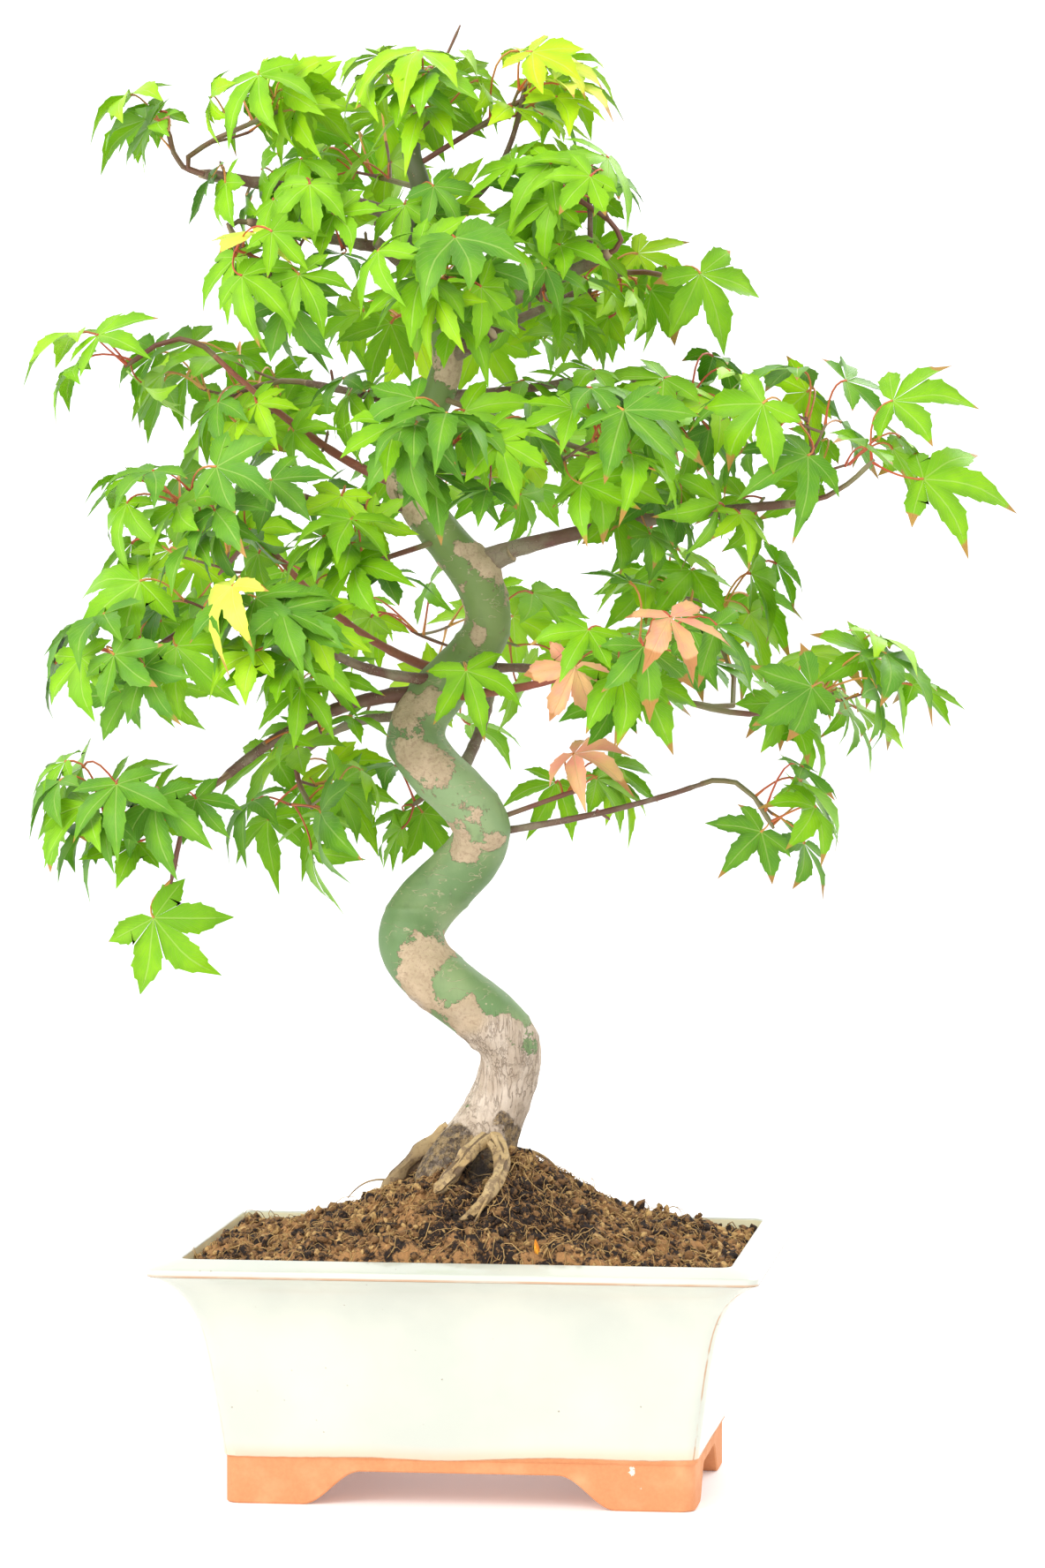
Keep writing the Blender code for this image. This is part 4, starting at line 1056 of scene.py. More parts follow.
def stem_of(carrier, heart, number):
    """The stem's path: out of a bough's tip, 0.3 mm clear, or out of the trunk, towards the heart."""
    if carrier in BOUGHS:
        path = bough_path(BOUGHS[carrier])
        ahead = unit(path[-1] - path[-2])
        aside = unit(np.cross(ahead, (0.0, 0.0, 1.0))) * BOUGH_TIP_OFFSET
        start = path[-1] + ahead * CLEARANCE + aside * number
    else:
        start = trunk_point(carrier or TRUNK_TURNS[-1][1])
        ahead = unit(heart - start) if carrier else np.array([0.0, 0.0, 1.0])
        start = start if carrier else start + ahead * CLEARANCE
    first = start + ahead * STEM_START
    knee = first + ahead * STEM_KNEE * np.linalg.norm(heart - first)
    return np.concatenate([start[None], bow(first, knee, heart, STEM_STEPS)])


def leaf_facing(place, node, middle, sizes, rng):
    """A leaf round a place: its middle lobe droops outwards and its blade faces out and up."""
    out = unit(place - node)
    flat = out * (1, 1, 0) + 0.8 * unit((place - middle) * (1, 1, 0) + 1e-6)
    heading = math.atan2(flat[1], flat[0]) + math.radians(rng.uniform(-HEADING_SPREAD, HEADING_SPREAD))
    droop = math.radians(rng.uniform(*DROOP))
    level = np.array([math.cos(heading), math.sin(heading), 0.0])
    ahead = unit(level * math.cos(droop) - np.array([0, 0, math.sin(droop)]))
    while ahead @ out < STALK_BEND:
        ahead = unit(ahead + 0.3 * out)
    outside = unit(np.array([0.45 * place[0], place[1] + rng.uniform(-0.02, 0.02), 0.0]) + 1e-6)
    face = OUTWARD * outside + np.array([0, 0, UPWARD]) + rng.normal(size=3) * FACE_SCATTER
    face = unit(face - ahead * (face @ ahead))
    length = rng.uniform(*sizes)
    return place - ahead * BLADE_MIDDLE * length, ahead, face, length, node


def within(vertices, centre, half):
    return (np.linalg.norm((vertices - centre) / half, axis=1) <= 1.0).all()


def grow(name, index, number, crown):
    """The large twigs and leaves of one mass, from its own seed: just those of the solids."""
    carrier, centre, half, wanted = FOLIAGE[name]
    centre, half = np.array(centre), np.array(half)
    rng = np.random.default_rng(SEED + index)
    stem = stem_of(carrier, centre, number)
    twigs = [(stem, np.linspace(*STEM_RADIUS, len(stem)))]
    buds = buds_along(stem, lambda point: within(point[None], centre, half))
    leaves = []
    if name in BARE_TWIGS:
        twigs.append((np.array([buds[-1][0], BARE_TWIGS[name]]), TWIG_RADIUS))
        use_up(buds[-1], buds)
        crown.add(twig_mesh(twigs[-1]), name, "leaf")
    leaf_out(name, twigs, leaves, buds, wanted, LEAF_LENGTH, SPOT_SHARE, rng, crown)
    return twigs, leaves


def leaf_out(name, twigs, leaves, buds, wanted, sizes, spread, rng, crown):
    """Adds leaves to a mass: each spot of its space gets one where one fits, on a stalk from the
    nearest twig, or on a new twig where that is out of reach."""
    centre, half = (np.array(part) for part in {**FOLIAGE, **SPRAYS}[name][1:3])
    target = len(leaves) + wanted
    for spot, _ in zip(spots(rng), range(MOST_SPOTS)):
        if len(leaves) == target:
            break
        place = centre + half * spot * spread
        bud = min(buds, key=lambda bud: np.linalg.norm(bud[0] - place))
        for _ in range(TRIES):
            leaf = leaf_facing(place, bud[0], centre, sizes, rng)
            twig = twig_to(leaf[0], bud[0])
            if twig:
                leaf = (*leaf[:4], twig[0][-1] - unit(twig[0][-1] - twig[0][0]) * BUD_LENGTH)
            if fits(leaf, twig, name, centre, half, crown):
                break
        else:
            continue
        use_up(bud, buds)
        if twig:
            twigs.append(twig)
            buds += buds_along(twig[0])
            use_up(buds[-1], buds)
            crown.add(twig_mesh(twig), name, "twig")
        leaves.append(leaf)
        crown.add(leaf_mesh(leaf), name, "leaf")


def buds_along(path, allowed=None):
    """Where stalks and twigs can start: the bends of a path that are allowed, or all of them, and
    just short of its end. Each has its direction and how many it can still take."""
    buds = []
    for k in range(1, len(path)):
        last = k == len(path) - 1
        ahead = unit(path[k] - path[k - 1])
        point = path[k] - ahead * BUD_LENGTH * last
        if last or allowed is None or allowed(point):
            buds.append([point, ahead, STALKS_A_BUD])
    return buds


def use_up(bud, buds):
    """The next stalk from the same bud starts a little further back, up to a fixed number."""
    bud[0] = bud[0] - bud[1] * STALK_SPACING
    bud[2] -= 1
    if bud[2] == 0 and len(buds) > 1:
        buds[:] = [other for other in buds if other is not bud]


def twig_to(base, node):
    """A straight twig towards a blade that is out of a stalk's reach."""
    gap = np.linalg.norm(base - node)
    if gap <= STALK_REACH:
        return None
    ahead = (base - node) / gap
    return np.array([node, node + ahead * (gap - STALK_LENGTH + BUD_LENGTH)]), TWIG_RADIUS


def fits(leaf, twig, name, centre, half, crown):
    """Whether a leaf and its twig stay in their space and clear of limbs and of other masses, and
    its blade clear of its own mass's leaves."""
    base, ahead, face, length, node = leaf
    shape = leaf_mesh(leaf, SKIN)
    stalk = base - node
    if np.linalg.norm(stalk) < STALK_LEAST or ahead @ unit(stalk) < STALK_BEND:
        return False
    if not within(shape[0], centre, half) or crown.touches(shape, skip=name):
        return False
    if twig and (crown.touches(twig_mesh(twig, SKIN), skip=name) or crown.touches(twig_mesh(twig), own=name)):
        return False
    blade = leaf_mesh((base, ahead, face, length, base - ahead * STALK_LEAST * 0.5))
    return not crown.touches(blade, own=name)


# Pot


def arch_lift(away, arch):
    """How high the gap between two feet reaches: half a cosine from the foot's edge to a flat top."""
    top, foot = arch
    part = np.clip((foot - np.abs(away)) / (foot - top), 0.0, 1.0)
    return ARCH_HEIGHT * (0.5 - 0.5 * np.cos(math.pi * part))


def wall_half(z):
    """Half sizes of the outer wall: a lip that curls in fast, then a wall that leans in evenly."""
    below = max(LIP_UNDERSIDE - z, 0.0)
    return inset(RIM_HALF, FLARE * (1 - math.exp(-below / FLARE_FALL)) + WALL_SLOPE * below)


def inset(half, amount):
    return half[0] - amount, half[1] - amount


def lines_across(places, straight):
    """Lines across a side, mirrored: their share of the straight part, then of the corner."""
    shares = np.asarray(places) / straight
    shares = np.concatenate([-shares[::-1], shares[1:]])
    bend = evenly(CORNER_LINES + 1)[1:]
    flat = np.concatenate([-np.ones(CORNER_LINES), shares, np.ones(CORNER_LINES)])
    return flat, np.concatenate([-bend[::-1], np.zeros(len(shares)), bend])


def spread_out(lines, half, corner):
    """Where the lines cross, over a rectangle with round corners: the straight parts scale with it,
    and in a corner the square of shares (u, v) becomes the quarter disc (u sqrt(1 - v^2 / 2),
    v sqrt(1 - u^2 / 2))."""
    (sx, ux), (sy, uy) = lines
    x = sx[:, None] * (half[0] - corner) + corner * ux[:, None] * np.sqrt(1 - uy[None] ** 2 / 2)
    y = sy[None] * (half[1] - corner) + corner * uy[None] * np.sqrt(1 - ux[:, None] ** 2 / 2)
    return np.stack([x, y], axis=-1)


def border(grid):
    """The outermost entries of a grid, anticlockwise."""
    return np.concatenate([grid[:, 0], grid[-1, 1:], grid[-2::-1, -1], grid[0, -2:0:-1]])


def sheet_faces(numbers):
    """Four-cornered faces of a grid of point numbers, facing up."""
    quads = [numbers[:-1, :-1], numbers[1:, :-1], numbers[1:, 1:], numbers[:-1, 1:]]
    return np.stack(quads, axis=-1).reshape(-1, 4)


def rounded(points, radius):
    """An open outline whose inner corners become arcs of a quadratic curve."""
    points = np.asarray(points, float)
    made = [points[:1]]
    for before, corner, after in zip(points, points[1:], points[2:]):
        first = corner + unit(before - corner) * min(radius, np.linalg.norm(before - corner) / 2.2)
        last = corner + unit(after - corner) * min(radius, np.linalg.norm(after - corner) / 2.2)
        made.append(bow(first, corner, last, ARC_STEPS))
    return np.concatenate([*made, points[-1:]])


def pot_lines(foot):
    """Lines across the underside both ways, closer together where the arches rise."""
    lines = []
    for half, (top, edge) in zip(foot, (FRONT_ARCH, SIDE_ARCH)):
        straight = half - POT_CORNER
        parts = [np.linspace(0, top, 9), np.linspace(top, edge, 19)[1:], np.linspace(edge, straight, 5)[1:]]
        lines.append(lines_across(np.concatenate(parts), straight))
    return lines


def pot_rings(foot, lift, lip_round):
    """Half sizes and height of each ring: up the foot band and the wall, over the lip and down inside."""
    rings = []
    for part in evenly(5):
        z = lift + FOOT_EDGE + (BAND_TOP - BAND_SET_BACK - lift - FOOT_EDGE) * part
        rings.append((foot, z))
    for depth in np.linspace(1.0, 0.0, WALL_ROWS)[:-1]:
        z = LIP_UNDERSIDE - (LIP_UNDERSIDE - BAND_TOP) * depth**2
        rings.append((wall_half(z), z))
    wall_top = LIP_UNDERSIDE - FOOT_EDGE
    wall = (RIM_HALF[0] - wall_half(wall_top)[0], wall_top)
    inner = (RIM_HALF[0] - wall_half(INNER_TOP)[0] + WALL, INNER_TOP)
    lip = [wall, (0.0, LIP_UNDERSIDE), (0.0, LIP_TOP), (RIM_WIDTH, RIM_TOP), inner]
    rings += [(inset(RIM_HALF, amount), z) for amount, z in rounded(lip, lip_round)]
    return rings + [(inset(wall_half(z), WALL), z) for z in np.linspace(INNER_TOP, FLOOR_TOP, INNER_ROWS)[1:]]


def pot_surface(lip_round):
    """One closed surface: the underside with its arches, then rings of one outline that follow the
    profile of inset and height, then the floor inside."""
    foot = inset(wall_half(BAND_TOP), BAND_SET_BACK)
    lines = pot_lines(foot)
    under = spread_out(lines, inset(foot, FOOT_EDGE), POT_CORNER)
    lift = np.maximum(arch_lift(under[..., 0], FRONT_ARCH), arch_lift(under[..., 1], SIDE_ARCH))
    rings = pot_rings(foot, border(lift), lip_round)
    floor = spread_out(lines, rings.pop()[0], POT_CORNER)
    outline = np.array([border(spread_out(lines, half, POT_CORNER)) for half, _ in rings])
    heights = np.array([np.broadcast_to(z, outline.shape[1]) for _, z in rings])
    sheets = ((under, lift), (outline, heights), (floor, np.full(lift.shape, FLOOR_TOP)))
    vertices = np.concatenate([np.dstack(sheet).reshape(-1, 3) for sheet in sheets])
    flat = numbered(lift)
    around = numbered(heights, flat.size)
    inner = numbered(lift, flat.size + around.size)
    ring_numbers = np.concatenate([border(flat)[None], around, border(inner)[None]])
    faces = [np.concatenate([sheet_faces(flat)[:, ::-1], quads_between(ring_numbers), sheet_faces(inner)])]
    inside = np.zeros(len(vertices))
    inside[around[-INNER_ROWS:].ravel()] = 1.0
    inside[inner.ravel()] = 1.0
    shares = np.abs(np.stack(np.meshgrid(lines[0][1], lines[1][1], indexing="ij"))).min(axis=0)
    corner = np.zeros(len(vertices))
    corner[around.ravel()] = np.tile(border(shares), len(rings))
    return vertices, faces, inside, corner


def worn_edges(mix):
    """Brown lines where glaze is thin: up the corners, and under the lip."""
    corner = (mix.stored("corner") + (mix.noise(0.006) - 0.5) * 0.12).rise(0.88, 0.97) * mix.stored("wear")
    corner = corner * mix.noise(0.012).rise(0.34, 0.5)
    away = abs(mix.axis("Z") - (LIP_UNDERSIDE + 0.0004) + (mix.noise(0.02) - 0.5) * 0.0004)
    below = away.rise(0.0008, 0.0002) * (1 - mix.stored("inside"))
    return corner.most(below * (0.45 + 0.55 * mix.noise(0.025).rise(0.36, 0.6)))


def glaze_colour(mix, settings, above, pits):
    """Cream that is thin in places, warmer just above the clay, yellower inside, and worn and pitted."""
    return mix.layers(
        settings.glaze,
        (mix.noise(0.05, 4.0).rise(0.35, 0.75) * 0.25, (0.9, 0.86, 0.72)),
        (above.rise(0.0065, 0.0) * 0.65, (0.8, 0.55, 0.36)),
        (worn_edges(mix) * 0.85, (0.5, 0.27, 0.14)),
        (mix.stored("inside") * 0.75, (0.92, 0.86, 0.55)),
        (pits * 0.7, (0.42, 0.27, 0.15)),
    )


def clay_colour(mix, settings, grain):
    """Terracotta with darker grain, paler patches, and a few chips."""
    clay = mix.layers(
        settings.clay,
        (grain.rise(0.3, 0.75) * 0.5, (0.62, 0.21, 0.085)),
        (mix.noise(0.018).rise(0.45, 0.8) * 0.5, (0.86, 0.46, 0.24)),
    )
    for x, z, reach in CHIPS:
        chip = mix.near((x, BAND_SET_BACK - wall_half(z)[1], z), reach)
        chip = (chip * 0.6 + (mix.noise(0.0022, 3.0, 0.7) - 0.5) * 2.2).rise(0.4, 0.54) * chip.rise(0.0, 0.2)
        clay = mix.blend(chip * 0.8, clay, (0.9, 0.82, 0.72))
    return clay


def pot_finish(settings):
    """Cream glaze over terracotta, which is bare below a wavy line."""
    mix = Recipe("cream_glaze_on_clay", settings.glaze)
    line = settings.glaze_line + 0.0075 * (mix.noise(0.075, 1.0) - 0.5) + 0.0006 * (mix.noise(0.004) - 0.5)
    above = mix.axis("Z") - line
    bare = above.rise(0.0003, -0.0003)
    pits = mix.cells(0.0065).rise(0.055, 0.035) * mix.noise(0.02).rise(0.48, 0.6)
    grain = mix.noise(0.0016, 4.0, 0.7)
    relief = (1 - bare) * (mix.noise(0.03, 2.0) * 0.6 - pits * 0.5) + bare * (grain * 0.35 - 0.3)
    glaze = glaze_colour(mix, settings, above, pits)
    return mix.finish(
        base_color=mix.blend(bare, glaze, clay_colour(mix, settings, grain)),
        roughness=0.16 + bare * 0.62 + mix.noise(0.012) * 0.08,
        coat_weight=(1 - bare) * 0.35,
        normal=mix.bump(relief, 0.0006),
    )


class BONSAI_OT_pot(bpy.types.Operator):
    """Makes the glazed pot on its four feet"""

    bl_idname = "bonsai.pot"
    bl_label = "Pot"

    def execute(self, context):
        settings = context.scene.bonsai_pot
        vertices, faces, inside, corner = pot_surface(settings.lip_round)
        x, y, z = vertices.T
        front_right = ease(x, -0.02, 0.06) * ease(-y, -0.02, 0.06)
        wear = (0.3 + 0.7 * front_right) * (z < LIP_UNDERSIDE)
        facts = {"inside": inside, "corner": corner, "wear": wear}
        finish = pot_finish(settings)
        add_piece("pot_glazed", vertices, faces, finish, ["pot"], "cream_glaze", facts, crease=38)
        return {"FINISHED"}


# Soil


def soil_surface(x, y, clods):
    """The mound's height, sunk a little where low and in a hollow under the roots, cut off by a slope
    that falls to the pot's wall, with lumps, chunks and grains of lattice noise."""
    flat = np.stack([x, y, np.zeros_like(x)], axis=-1)
    lumps = rough_noise(flat, 0.014, 2, 3)
    chunks = np.abs(rough_noise(flat, 0.005, 2, 11))
    grains = lattice_noise(flat, 0.0018, 23)
    ground = soil_height(x, y)
    ground -= SOIL_DIP * ease(ground, SOIL_LEVEL + 0.01, SOIL_LEVEL + 0.004)
    half = inset(wall_half(INNER_TOP), WALL)
    away = np.minimum(half[0] - np.abs(x), half[1] - np.abs(y))
    ground = np.minimum(ground, SOIL_LEVEL + EDGE_RISE * (away - 0.001))
    ground -= HOLLOW_DEPTH * np.exp(-(np.hypot(x - HOLLOW[0], y - HOLLOW[1]) / HOLLOW_REACH) ** 2)
    return ground + clods * (0.35 * lumps + 0.9 * chunks - 0.6 + 0.22 * grains)


def soil_sheet(clods):
    """A grid over the pot's inside at the height of the soil, with a skirt down to a closed base."""
    half = inset(wall_half(INNER_TOP), WALL + 0.0004)
    lines = []
    for side in half:
        straight = side - POT_CORNER
        lines.append(lines_across(np.linspace(0, straight, round(side / SOIL_CELL)), straight))
    flat = spread_out(lines, half, POT_CORNER)
    top = np.dstack([flat, soil_surface(flat[..., 0], flat[..., 1], clods)])
    numbers = numbered(top)
    skirt = border(top) * (0.96, 0.96, 0.0) + (0.0, 0.0, SOIL_SKIRT)
    vertices = np.concatenate([top.reshape(-1, 3), skirt, [[0.0, 0.0, SOIL_SKIRT]]])
    low = np.arange(len(skirt)) + numbers.size
    walls = quads_between(np.stack([low, border(numbers)]))
    middle = np.full(len(low), len(vertices) - 1)
    base = np.stack([middle, np.roll(low, -1), low], axis=1)
    return vertices, [np.concatenate([sheet_faces(numbers), walls]), base]


def scattered(count, rng):
    """Random places on the soil, more of them on the mound."""
    half = inset(wall_half(INNER_TOP), WALL + 0.002)
    even = rng.uniform(-1, 1, (count, 2)) * half
    heaped = MOUND_CENTRE + rng.normal(size=(count, 2)) * np.array(MOUND_HALF) * 0.7
    flat = np.where(rng.random((count, 1)) < 0.65, even, heaped)
    return np.clip(flat, -np.array(half), half)


def turned_round(count, rng):
    """Random turns as 3 x 3 matrices, from unit quaternions."""
    w, x, y, z = unit_rows(rng.normal(size=(count, 4))).T
    rows = [
        [1 - 2 * (y * y + z * z), 2 * (x * y - z * w), 2 * (x * z + y * w)],
        [2 * (x * y + z * w), 1 - 2 * (x * x + z * z), 2 * (y * z - x * w)],
        [2 * (x * z - y * w), 2 * (y * z + x * w), 1 - 2 * (x * x + y * y)],
    ]
    return np.moveaxis(np.array(rows), 2, 0)


def twenty_sided():
    """Corners and outward faces of the regular solid with twenty sides: its corners are at one unit
    and the golden ratio along two axes, and its faces join corners that are close."""
    golden = (1 + math.sqrt(5)) / 2
    corners = [(0, a, b) for a in (-1, 1) for b in (-golden, golden)]
    corners = np.array([np.roll(c, k) for k in range(3) for c in corners], float)
    corners /= np.linalg.norm(corners[0])
    gaps = np.linalg.norm(corners[:, None] - corners[None], axis=2)
    near = (gaps > 0.1) & (gaps < 1.2)
    pairs = [(a, b) for a in range(12) for b in range(a) if near[a, b]]
    faces = np.array([(a, b, c) for a, b in pairs for c in range(b) if near[b, c] and near[a, c]])
    a, b, c = (corners[faces[:, k]] for k in range(3))
    inward = (np.cross(b - a, c - a) * a).sum(axis=1) < 0
    faces[inward] = faces[inward][:, ::-1]
    return corners, faces


def crumbs(count, clods, middling, flat, rng):
    """Loose lumps: a twenty-sided solid, its corners pushed in and out at random, squashed, flattened
    by a share, turned, and sunk a little in the soil."""
    corners, faces = twenty_sided()
    size = np.clip(np.exp(rng.normal(math.log(middling), 0.5, count)), 0.0004, 0.003)
    lumps = corners * rng.uniform(0.55, 1.2, (count, 12, 1)) * rng.uniform(0.5, 1.25, (count, 1, 3))
    lumps = lumps * (1.0, 1.0, flat)
    lumps = np.einsum("nij,nkj->nki", turned_round(count, rng), lumps) * size[:, None, None]
    place = scattered(count, rng)
    z = soil_surface(place[:, 0], place[:, 1], clods) + size * 0.25
    lumps += np.column_stack([place, z])[:, None]
    numbers = faces[None] + 12 * np.arange(count)[:, None, None]
    return lumps.reshape(-1, 3), [numbers.reshape(-1, 3)]


def fibres(count, clods, longest, thick, rng):
    """Rootlets and straw that wander over the soil: the heading turns evenly and wavers by a sine,
    and each arches up off the surface by half a sine."""
    part = evenly(FIBRE_STEPS)
    reach = rng.uniform(0.25, 1.0, (count, 1)) ** 1.5 * longest
    heading = rng.uniform(0, 2 * math.pi, (count, 1)) + rng.normal(size=(count, 1)) * 1.6 * part
    heading = heading + 0.5 * np.sin(rng.uniform(4, 11, (count, 1)) * part + rng.uniform(0, 6, (count, 1)))
    step = reach / (FIBRE_STEPS - 1)
    start = scattered(count, rng)
    x = start[:, :1] + np.cumsum(np.cos(heading), axis=1) * step
    y = start[:, 1:] + np.cumsum(np.sin(heading), axis=1) * step
    half = inset(wall_half(INNER_TOP), WALL + 0.001)
    x, y = np.clip(x, -half[0], half[0]), np.clip(y, -half[1], half[1])
    arch = reach * rng.uniform(0.0, 0.3, (count, 1)) * np.sin(math.pi * part)
    z = soil_surface(x, y, clods) + 0.0001 + arch
    radii = thick * rng.uniform(0.5, 1.0, (count, 1)) * (1 - 0.6 * part)
    return tubes(np.stack([x, y, z], axis=2), radii, 3)


def soil_finish(name, low, high, size=0.006):
    """Soil of two colours in patches, with painted shade over the front of the mound where pale patches are
    fewer and duller, pale grains, and a painted black shadow under the arching root.
    """
    mix = Recipe(name, low)
    patch = mix.noise(size, 5.0, 0.65)
    grain = mix.noise(0.0009, 3.0, 0.7)
    # painted shade over the front of the mound: fewer and duller pale patches there
    damp_and_shade = mix.near(*FRONT_SOIL_SHADE)
    dry = (patch + (mix.noise(0.016, 2.0) - 0.5) * 0.5 - damp_and_shade * 0.13).rise(0.43, 0.57)
    colour = mix.layers(
        low,
        (dry, mix.blend(damp_and_shade, shaded(high, 1.55), high)),
        (grain.rise(0.55, 0.66) * patch.rise(0.4, 0.55) * 0.6, shaded(high, (2.4, 2.2, 1.9))),
        # painted black shadow under the arching root
        (mix.near(*ROOT_SHADOW), SHADOW_BLACK),
    )
    normal = mix.bump(grain + patch * 2.0, 0.0008)
    return mix.finish(base_color=colour, roughness=0.9 + 0.1 * patch, normal=normal)


def leaf_scrap():
    """A narrow scrap on a bow, whose width follows half a sine."""
    width = SCRAP_WIDTH * np.sin(np.linspace(0.15, math.pi - 0.1, 9))
    return tubes(bow(*SCRAP, 8)[None], width[None], 6)


class BONSAI_OT_soil(bpy.types.Operator):
    """Makes the mound of peaty soil with its crumbs and rootlets"""

    bl_idname = "bonsai.soil"
    bl_label = "Soil"

    def execute(self, context):
        settings = context.scene.bonsai_soil
        rng = np.random.default_rng(SEED)
        dark, light, straw = settings.dark, settings.light, settings.straw
        finishes = {
            "peat": soil_finish("peat", dark, light),
            "damp_and_shade": soil_finish("peat_crumbs", dark, shaded(light, 0.6), 0.004),
            "dry": soil_finish("dry_crumbs", light, shaded(straw, 0.65), 0.003),
            "straw": soil_finish("straw_and_rootlets", straw, shaded(straw, 0.45), 0.008),
            "orange": soil_finish("leaf_scrap", (0.7, 0.22, 0.015), (0.95, 0.42, 0.03), 0.01),
        }
        pieces = [("surface", "peat", soil_sheet(settings.clods))]
        for name, finish, part, size, flat in CRUMBS:
            lumps = crumbs(round(settings.crumbs * part), settings.clods, size, flat, rng)
            pieces.append((name, finish, lumps))
        for name, finish, part, longest, thick in FIBRES:
            threads = fibres(round(settings.fibres * part), settings.clods, longest, thick, rng)
            pieces.append((name, finish, threads))
        pieces.append(("scrap", "orange", leaf_scrap()))
        for name, finish, shape in pieces:
            add_piece(f"soil_{name}", *shape, finishes[finish], ["soil"], "potting_soil")
        return {"FINISHED"}


# Trunk and roots


def cork_field(grid):
    """Where cork grows: noise that is raised or lowered round given spots, and raised all over the
    trunk's foot. The second value is 1 on that foot."""
    patch = 0.42 * rough_noise(grid, 0.016, 3, 5) + 0.24 * rough_noise(grid * (1, 1, 0.6), 0.005, 2, 9)
    for height, heading, reach, grows in CORK_PATCHES:
        patch += 1.05 * grows * swell(grid, trunk_spot(height, heading), reach)
    edge = grid[..., 2] + 0.01 * lattice_noise(grid, 0.012, 31)
    foot = ease(edge, CORK_FOOT + 0.004, CORK_FOOT - 0.004)
    return patch + 1.1 * foot, foot


def bark_surface(relief):
    """The trunk as rings along its axis: the plain radius and root flare, raised cork in patches,
    ring-shaped scars, and swellings where shoots were pruned."""
    heights = np.linspace(TRUNK_TURNS[0][1], TRUNK_TURNS[-1][1], TRUNK_ROWS)
    radii = trunk_radius(heights)[:, None] + root_flare(heights, corner_turns(TRUNK_ROUND))
    grid, out = ringed(trunk_point(heights), radii, TRUNK_ROUND)
    cork, foot = cork_field(grid)
    flakes = rough_noise(grid * (1, 1, 0.5), 0.0028, 2, 41)
    lift = relief * ease(cork, 0.4, 0.64) * (0.6 + 0.8 * flakes) + 0.00018 * rough_noise(grid, 0.006, 2, 51)
    for height, width, rise in RING_SCARS:
        lift += rise * np.exp(-(((grid[..., 2] - height) / width) ** 2))
    for height, heading, reach, rise in SWELLINGS:
        lift += rise * swell(grid, trunk_spot(height, heading), reach)
    grid = grid + out * lift[..., None]
    return *shut(grid), {"cork": cork, "old": foot, "dust": dust_on(grid)}


def dust_on(points):
    """How much soil clings to bark: 1 at the ground and 0 a little way up, with a ragged edge."""
    above = points[..., 2] - soil_height(points[..., 0], points[..., 1])
    return ease(above + 0.008 * rough_noise(points, 0.012, 3, 88), DUST_REACH, DUST_SOLID)


def green_bark(mix, settings, scratch):
    """Smooth young bark that changes up the trunk, darker at the top partly as painted shade under the crown,
    with dark streaks, pale scratches and pores.
    """
    # the top band is partly painted shade under the crown
    bands_and_shade = [(mix.axis("Z").rise(low, high) * amount, tint) for low, high, amount, tint in BARK_BANDS_AND_SHADE]
    streak = mix.noise(0.005, 3.0, 0.6, (1, 1, 0.25)).rise(0.55, 0.8)
    pores = mix.cells(0.0042).rise(0.13, 0.07) * mix.noise(0.014).rise(0.45, 0.58)
    return mix.layers(
        settings.green,
        (mix.noise(0.02, 4.0).rise(0.35, 0.7), (0.225, 0.31, 0.13)),
        (mix.near(*PALE_BARK) * 0.6, (0.33, 0.44, 0.22)),
        *bands_and_shade,
        (streak * 0.4, (0.09, 0.13, 0.055)),
        (scratch.most(pores) * 0.7, (0.46, 0.4, 0.25)),
    )


def corky_bark(mix, settings, fine, ragged, fissure):
    """Tan cork with brown flecks, which gives way to grey fissured bark on the old foot."""
    tan = mix.layers(
        settings.cork,
        (mix.noise(0.009, 4.0, 0.6).rise(0.3, 0.7), (0.56, 0.425, 0.285)),
        (fine.rise(0.5, 0.66) * 0.45, (0.26, 0.165, 0.105)),
        (ragged.rise(0.5, 0.66) * 0.45, (0.25, 0.17, 0.095)),
    )
    grey = mix.layers(
        (0.47, 0.37, 0.28),
        (mix.noise(0.006, 4.0, 0.6, (1, 1, 0.3)).rise(0.35, 0.68), (0.64, 0.535, 0.435)),
        (fine.rise(0.58, 0.7) * 0.35, (0.3, 0.22, 0.15)),
        (fissure * 0.6, (0.3, 0.21, 0.145)),
    )
    return mix.blend(mix.stored("old"), tan, grey)


